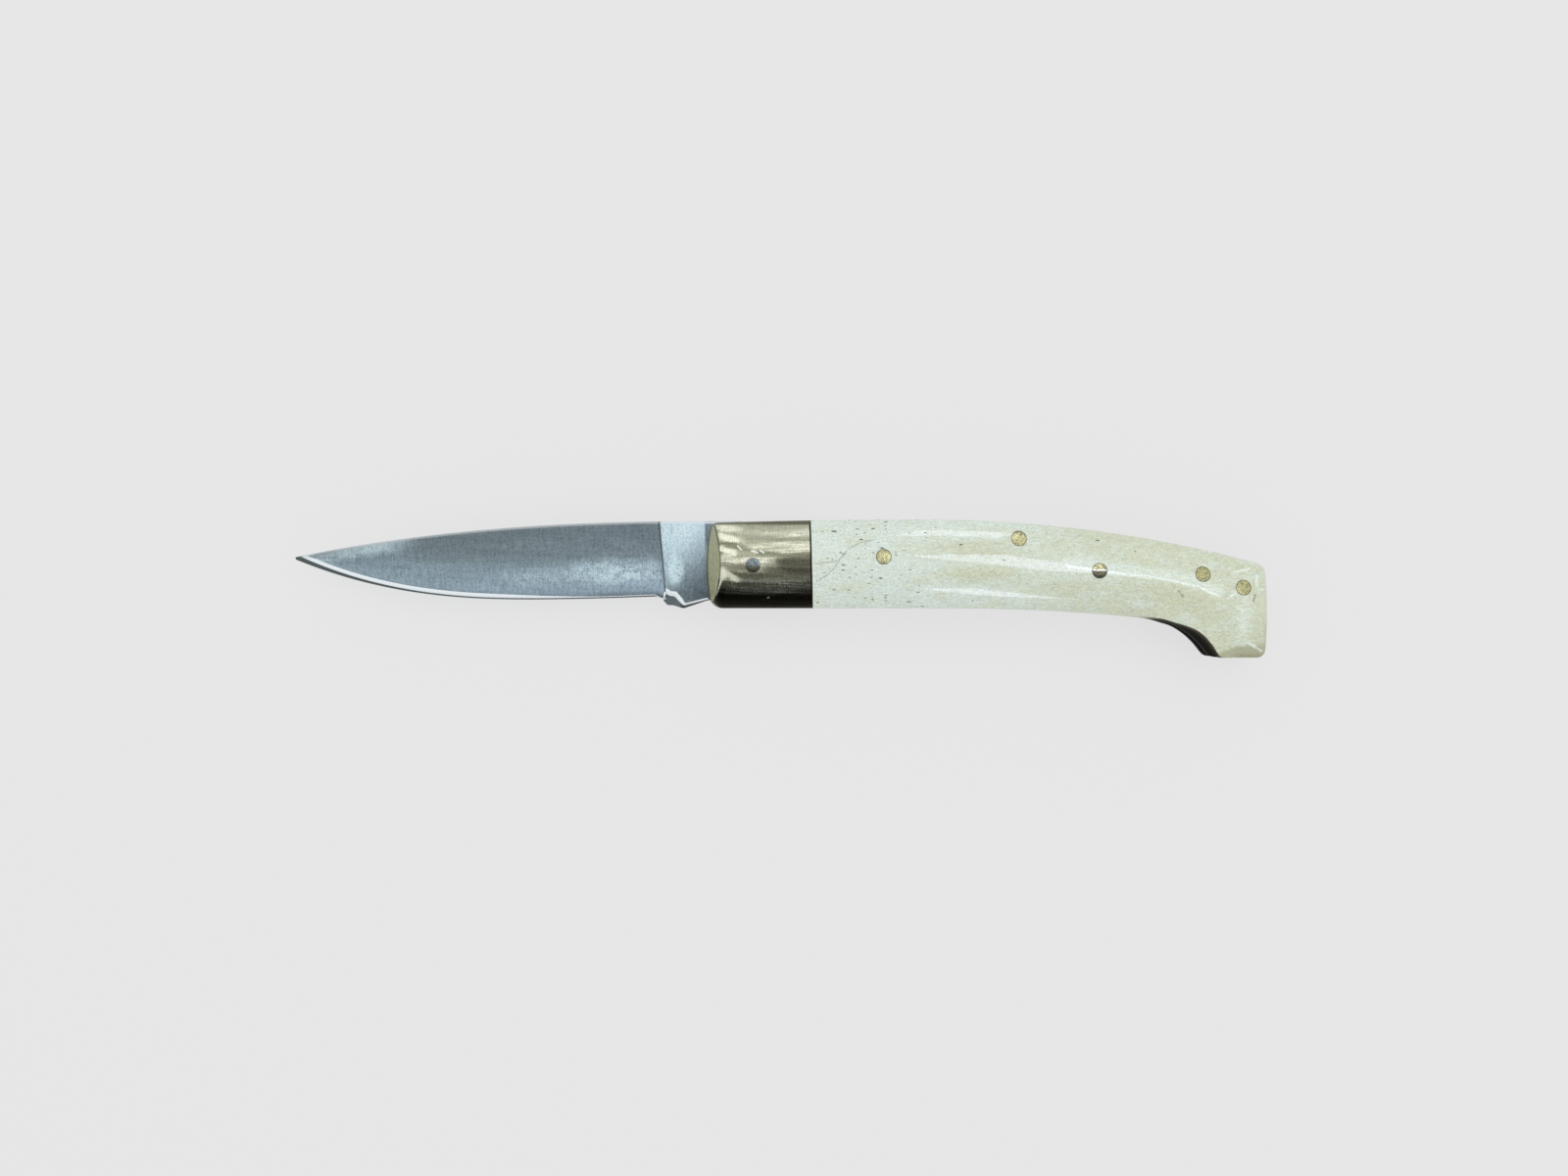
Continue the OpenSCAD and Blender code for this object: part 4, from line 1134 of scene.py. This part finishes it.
class KnifeColours(bpy.types.PropertyGroup):
    """Colours of the knife, and of the light and shade painted on it, in scene-linear values."""

    steel_light: colour("Steel", (0.42, 0.55, 0.63), "Lower part of the blade's hollow")
    # Shaded steel is painted shade in the hollow's upper part and low on the ricasso; it also draws
    # the brushed lines
    steel_dark: colour("Shaded steel", (0.345, 0.44, 0.475), "Upper part of the blade's hollow")
    # Bright steel is a painted highlight: the ricasso's bright face, its patch and the hollow's
    # bright patches
    painted_steel_highlight: colour("Bright steel", (0.72, 0.925, 1.0), "Brushed ricasso and bright patches")
    # Burr is painted shade: on the burr, the ricasso's foot, beside the bolster and in the plunge
    # line
    painted_steel_shade: colour("Burr", (0.10, 0.125, 0.13), "Rim outside the honed edge")
    # The honed edge's colour is a painted highlight, also on the kick's rim and along the spine
    honed: colour("Honed edge", (0.87, 0.93, 0.96), "Sharpened bevel")
    spring: colour("Spring", (0.20, 0.20, 0.17), "Backspring steel")
    spring_stain: colour("Spring stain", (0.10, 0.09, 0.06), "Stains on the backspring")
    brass: colour("Brass", (0.44, 0.45, 0.32), "Bolsters and liners")
    # Dull brass draws the dull streaks of the brass, and painted dark reflections on the bolsters
    dull_brass_and_reflection: colour("Dull brass", (0.16, 0.16, 0.10), "Dull streaks of the brass")
    brass_facet: colour("Brass facet", (0.40, 0.40, 0.235), "Front facet of the bolsters")
    # Pale brass draws polished streaks of the brass, and painted highlights on the bolsters
    pale_brass_and_highlight: colour("Pale brass", (0.93, 0.95, 0.75), "Polished streaks of the brass")
    # Tarnish also paints shade on the brass's lower side and on one pin's lower half
    tarnish_and_shade: colour("Tarnish", (0.12, 0.12, 0.08), "Tarnish of the brass")
    # Nick also paints a highlight line across the middle rivet
    nick_and_highlight: colour("Nick", (0.95, 0.98, 0.90), "Fresh scratches of the brass")
    # Grime is dirt in seams and painted shade: in the hook, the notch, under the bolsters, in dark
    # streaks and in the throat
    grime_and_shade: colour("Grime", (0.012, 0.011, 0.007), "Dirt in seams and in the hook")
    pin: colour("Pin", (0.61, 0.59, 0.31), "Brass pins")
    pivot: colour("Pivot", (0.30, 0.37, 0.39), "Steel pivot pin")
    pivot_stain: colour("Pivot stain", (0.12, 0.11, 0.09), "Stains of the pivot pin")
    bone: colour("Bone", (0.62, 0.70, 0.63), "Front of the scales")
    bone_rear: colour("Rear bone", (0.57, 0.61, 0.47), "Rear of the scales")
    bone_warm: colour("Warm bone", (0.54, 0.57, 0.42), "Warm patches of the bone")
    # Pale bone also paints highlights over the butt and along the crest
    bone_pale: colour("Pale bone", (0.70, 0.80, 0.74), "Pale patches of the bone")
    # Aged bone also paints shade along the butt's lower rim
    bone_aged_and_shade: colour("Aged bone", (0.35, 0.36, 0.22), "Butt's lower corner")
    # Painted shade on the throat's wall at the face
    throat: colour("Throat", (0.15, 0.13, 0.085), "Stain of the hook's throat at the face")
    # Painted highlight lines of the bone
    bone_highlight: colour("Polish", (0.84, 0.93, 0.90), "Polished lines of the bone")
    # Painted shade on the walls of the filed notch
    notch: colour("Notch", (0.13, 0.165, 0.175), "Walls of the filed notch")
    bone_brown: colour("Browned bone", (0.22, 0.19, 0.09), "Specks along the butt's lower rim")
    pit: colour("Pit", (0.07, 0.065, 0.045), "Marrow pits and cracks")
    floor: colour("Floor", (0.79, 0.79, 0.79), "Floor and backdrop")


class KnifeSizes(bpy.types.PropertyGroup):
    """Sizes of the looks that the frame leaves open."""

    ridge: length("Ridge", 0.5, "Slope of the soft crest along each scale, over half its height")
    edge_round: length("Edge round", 0.14, "Rounding where scale and bolster meet")
    pin_proud: length("Pin crown", 0.03, "Crown of a pin over the bone")
    kick_chamfer: length("Kick chamfer", 0.55, "Width of the bright chamfer along the kick")
    spine_chamfer: length("Spine chamfer", 0.16, "Width of the chamfer along the spine")
    plate_chamfer: length("Plate chamfer", 0.05, "Chamfer of liners and backspring")
    side_rows: count("Side rows", 220, "Rows along a scale", 40, 400)
    side_steps: count("Side steps", 44, "Steps across a scale or bolster", 12, 90)
    blade_rows: count("Blade rows", 150, "Stations along the blade", 30, 300)
    grind_steps: count("Grind steps", 16, "Steps across the blade's grind", 6, 40)


class KnifeStage(bpy.types.PropertyGroup):
    """Camera and light."""

    camera_height: length("Camera height", 270.0, "Height over the mid-plane", 0.1, 3.0)
    view_width: length("View width", 321.6, "Width seen at the mid-plane", 0.1, 1.0)
    floor_evenness: level("Floor evenness", 0.85, "Share of the floor's shadow that the camera "
                          "doesn't see", 1.0, subtype="FACTOR")
    lamp_level: level("Lamp level", 0.7, "Brightness of the large lamp", 10.0)
    strip_level: level("Strip level", 3.0, "Brightness of the strip lamps", 20.0)
    sky_level: level("Sky level", 0.87, "Brightness of the surroundings", 5.0)


class KnifeSettings(bpy.types.PropertyGroup):
    """All settings of the knife."""

    colours: PointerProperty(type=KnifeColours, name="Colours", description="Colours")
    sizes: PointerProperty(type=KnifeSizes, name="Sizes", description="Sizes")
    stage: PointerProperty(type=KnifeStage, name="Stage", description="Camera and light")


class KNIFE_OT_stage(bpy.types.Operator):
    """Camera, floor, surroundings and lamps"""

    bl_idname = "knife.stage"
    bl_label = "Stage"

    def execute(self, context):
        scene, stage = context.scene, settings().stage
        scene.view_settings.view_transform = "Standard"
        view = bpy.data.cameras.new("view")
        view.sensor_width = 36.0
        view.lens = view.sensor_width * stage.camera_height / stage.view_width
        view.clip_start, view.clip_end = 0.01, 20.0
        scene.camera = added("view", view)
        scene.camera.location = (VIEW_X, VIEW_Y, PIVOT[2] * MM + stage.camera_height)
        self.floor(stage)
        self.surroundings(scene, stage)
        for name, *given in LAMPS:
            strip = name.endswith("strip")
            self.lamp(name, strip, stage.strip_level if strip else stage.lamp_level, *given)
        return {"FINISHED"}

    def floor(self, stage):
        mesh = bpy.data.meshes.new("floor")
        corners = ((-1, -1), (1, -1), (1, 1), (-1, 1))
        mesh.from_pydata([(x * FLOOR_HALF, y * FLOOR_HALF, 0) for x, y in corners], [],
                         [(0, 1, 2, 3)])
        material, m = new_material("floor")
        base = settings().colours.floor
        matte = m.node("ShaderNodeBsdfDiffuse", Color=base)
        even = m.node("ShaderNodeEmission", Color=base, Strength=1.0)
        path = m.node("ShaderNodeLightPath")
        seen = most(m.number(path, "Is Camera Ray"), most(m.number(path, "Is Glossy Ray"),
                                                          m.number(path, "Is Transmission Ray")))
        mixed = m.node("ShaderNodeMixShader", i0=seen * stage.floor_evenness,
                       i1=matte.outputs[0], i2=even.outputs[0])
        m.node("ShaderNodeOutputMaterial", Surface=mixed.outputs[0])
        mesh.materials.append(material)
        floor = added("floor", mesh)

    def surroundings(self, scene, stage):
        """Diffuse light is even. Gloss sees a studio that darkens on the near side."""
        world = bpy.data.worlds.new("studio")
        world.use_nodes = True
        world.node_tree.nodes.clear()
        m = Maker(world.node_tree)
        _, y, z = m.parts(m.node("ShaderNodeTexCoord").outputs["Generated"])
        lean = m.math("ARCTAN2", y, most(z, 0.0)) / math.pi + 0.5
        stops = [(at, (grey,) * 3) for at, grey in STUDIO]
        seen = m.node("ShaderNodeValToRGB", {"stops": stops}, Fac=lean)
        path = m.node("ShaderNodeLightPath")
        shade = m.coats((stage.sky_level,) * 3, (m.number(path, "Is Glossy Ray"), seen.outputs[0]),
                        (m.number(path, "Is Camera Ray"), settings().colours.floor))
        sky = m.node("ShaderNodeBackground", Color=shade, Strength=1.0)
        m.node("ShaderNodeOutputWorld", Surface=sky.outputs[0])
        scene.world = world
        world.cycles.sampling_method = "NONE"

    def lamp(self, name, strip, strength, at, aim, size, share, shade):
        light = bpy.data.lights.new(name, "AREA")
        light.shape = "RECTANGLE"
        light.size, light.size_y = size
        light.energy = LAMP_WATTS * size[0] * size[1] * share * strength
        light.color = shade
        lamp = added(name, light)
        lamp.location = at
        lamp.visible_glossy = strip
        lamp.rotation_euler = (Vector(aim) - Vector(at)).to_track_quat("-Z", "Y").to_euler()


# Middle of the picture in the row frame, and half the floor's side, in metres
VIEW_X, VIEW_Y, FLOOR_HALF = 0.00127, 0.00013, 6.0

# What gloss sees from the near horizon over the zenith to the far one
STUDIO = ((0.0, 0.5), (0.12, 0.4), (0.22, 0.06), (0.34, 0.04), (0.40, 0.12), (0.45, 0.38),
          (0.50, 0.72), (0.56, 0.92), (0.70, 0.90), (0.84, 0.7), (1.0, 0.55))

# Power of a lamp at level 1, in watts a square metre
LAMP_WATTS = 4.0

# Name, place, aim, size, level and colour of each lamp, in metres
STRIP_COLOUR = (0.8, 0.78, 1.0)
LAMPS = (
    ("main_lamp", (0.1, 0.7, 1.4), (0.0, 0.0, 0.0), (1.4, 0.8), 1.32, (1.0, 1.0, 0.9)),
    ("crest_strip", (0.275, 0.11, 1.2), (0.05, 0.0, 0.0), (0.33, 0.14), 1.1, STRIP_COLOUR),
    ("upper_strip", (0.245, 0.98, 1.0), (0.05, 0.0, 0.0), (0.18, 0.34), 0.95, STRIP_COLOUR),
    ("lower_strip", (0.235, -0.84, 1.1), (0.05, 0.0, 0.0), (0.055, 0.4), 1.3, STRIP_COLOUR),
)


def swelled_pair(part, stuff, slot, material, start, end, rows):
    """The left and the right piece of scale or bolster, dressed."""
    sizes = settings().sizes
    for side in ("left", "right"):
        made = run_tree(f"{side}_{part}_{stuff}", swelled_side, {
            "From": start, "To": end, "Rows": rows, "Steps": sizes.side_steps,
            "Ridge": sizes.ridge / MM, "Edge Round": sizes.edge_round / MM,
            "Right Side": side == "right", "Material": material})
        dress(made, material, "handle", slot, f"{side}_{part}")


class KNIFE_OT_scales(bpy.types.Operator):
    """Left and right bone scales"""

    bl_idname = "knife.scales"
    bl_label = "Scales"

    def execute(self, context):
        swelled_pair("scale", "bone", "bone", bone_material(), BOLSTER_REAR, BUTT_X,
                     settings().sizes.side_rows)
        return {"FINISHED"}


class KNIFE_OT_bolsters(bpy.types.Operator):
    """Left and right brass bolsters"""

    bl_idname = "knife.bolsters"
    bl_label = "Bolsters"

    def execute(self, context):
        swelled_pair("bolster", "brass", "bolster_brass", brass_material("bolster_brass", False),
                     -BOLSTER_FRONT, BOLSTER_REAR, settings().sizes.side_rows // 2)
        return {"FINISHED"}


class KNIFE_OT_pins(bpy.types.Operator):
    """Brass pins and rivets, and the steel pivot pin"""

    bl_idname = "knife.pins"
    bl_label = "Pins"

    def execute(self, context):
        sizes, hue = settings().sizes, settings().colours
        # The middle rivet and the pivot each get painted shade on their lower half
        brass = pin_material("pin_brass", hue.pin, hue.tarnish_and_shade, BRASS_PINS, MIDDLE_RIVET, 0.08)
        steel = pin_material("pivot_steel", hue.pivot, hue.pivot_stain, ((0.0, 0.0),),
                             (0.0, -0.1), 0.45)
        both = [(p, 1.0, 1.0) for p in (SPRING_PIN, REAR_PIN, BUTT_PIN)]
        short = [(p, up, 1.0 - up) for p in (FRONT_RIVET, MIDDLE_RIVET) for up in (1.0, 0.0)]
        values = {"Radius": PIN_R, "Proud": sizes.pin_proud / MM, "Ridge": sizes.ridge / MM}
        pins = run_tree("brass_pins", flush_pins, {**values, "Material": brass},
                        self.points(both + short))
        dress(pins, brass, "handle", "pin_brass", "spring_pin", "rear_pin", "butt_pin",
              "left_front_rivet", "right_front_rivet", "left_middle_rivet", "right_middle_rivet")
        pivot = run_tree("pivot_pin_steel", flush_pins, {**values, "Material": steel},
                         self.points([((0.0, 0.0), 1.0, 1.0)]))
        dress(pivot, steel, "handle", "pivot_steel", "pivot_pin")
        return {"FINISHED"}

    def points(self, rows):
        """A point for each pin, with how far it reaches through the left and the right side."""
        mesh = bpy.data.meshes.new("pin_points")
        mesh.from_pydata([(float(x), float(y), 0.0) for (x, y), _, _ in rows], [], [])
        for k, name in ((1, "reach_up"), (2, "reach_down")):
            reach = mesh.attributes.new(name, "FLOAT", "POINT")
            reach.data.foreach_set("value", [row[k] for row in rows])
        return mesh


class KNIFE_OT_liners(bpy.types.Operator):
    """Brass liners"""

    bl_idname = "knife.liners"
    bl_label = "Liners"

    def execute(self, context):
        rim = settings().sizes.plate_chamfer / MM
        material = brass_material("liner_brass", True)
        outline = handle_outline()
        holes = [(*p, PIN_R + HOLE_GAP) for p in ((0.0, 0.0), *BRASS_PINS)]
        holes += [(*p, STUD_R + HOLE_GAP) for p in STUDS]
        for side, low, high in (("left", SLOT_HALF, LINER_OUT), ("right", -LINER_OUT, -SLOT_HALF)):
            made = plate(side + "_liner_brass", chamfered(outline, low, high, rim), holes)
            dress(made, material, "handle", "liner_brass", side + "_liner")
            for stud in ("upper", "rear"):
                node = frame["nodes"][f"{side}_bolster_{stud}_stud"]
                node.data.materials.clear()
                node.data.materials.append(material)
        return {"FINISHED"}


class KNIFE_OT_spring(bpy.types.Operator):
    """Backspring"""

    bl_idname = "knife.spring"
    bl_label = "Backspring"

    def execute(self, context):
        rim = settings().sizes.plate_chamfer / MM
        holes = [(*p, PIN_R + HOLE_GAP) for p in (SPRING_PIN, REAR_PIN, BUTT_PIN)]
        made = plate("backspring_steel", chamfered(spring_outline(), -SLOT_HALF, SLOT_HALF, rim),
                     holes)
        dress(made, dark_steel_material(), "handle", "spring_steel", "backspring")
        return {"FINISHED"}


class KNIFE_OT_blade(bpy.types.Operator):
    """Blade with its tang"""

    bl_idname = "knife.blade"
    bl_label = "Blade"

    def execute(self, context):
        sizes = settings().sizes
        made = joined_solids(ground_blade(sizes), tang(sizes), "blade_steel")
        dress(made, steel_material(), "blade", "blade_steel", "blade")
        return {"FINISHED"}


class KNIFE_PT_panel(bpy.types.Panel):
    """Lists what builds the knife"""

    bl_idname = "KNIFE_PT_panel"
    bl_label = "Pocket Knife"
    bl_space_type = "VIEW_3D"
    bl_region_type = "UI"
    bl_category = "Knife"

    def draw(self, context):
        for operator in OPERATORS:
            self.layout.operator(operator.bl_idname)
        for group_of in (settings().sizes, settings().colours, settings().stage):
            box = self.layout.box()
            for name in group_of.bl_rna.properties.keys():
                if name not in ("rna_type", "name"):
                    box.prop(group_of, name)


OPERATORS = (KNIFE_OT_stage, KNIFE_OT_blade, KNIFE_OT_spring, KNIFE_OT_liners, KNIFE_OT_bolsters,
             KNIFE_OT_scales, KNIFE_OT_pins)
CLASSES = (KnifeColours, KnifeSizes, KnifeStage, KnifeSettings, *OPERATORS, KNIFE_PT_panel)


def register():
    for one in CLASSES:
        bpy.utils.register_class(one)
    bpy.types.Scene.knife = PointerProperty(type=KnifeSettings)


def unregister():
    del bpy.types.Scene.knife
    for one in reversed(CLASSES):
        bpy.utils.unregister_class(one)


def main():
    register()
    bpy.ops.knife.stage()
    bpy.ops.knife.blade()
    bpy.ops.knife.spring()
    bpy.ops.knife.liners()
    bpy.ops.knife.bolsters()
    bpy.ops.knife.scales()
    bpy.ops.knife.pins()
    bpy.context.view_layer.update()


if __name__ == "__main__":
    main()
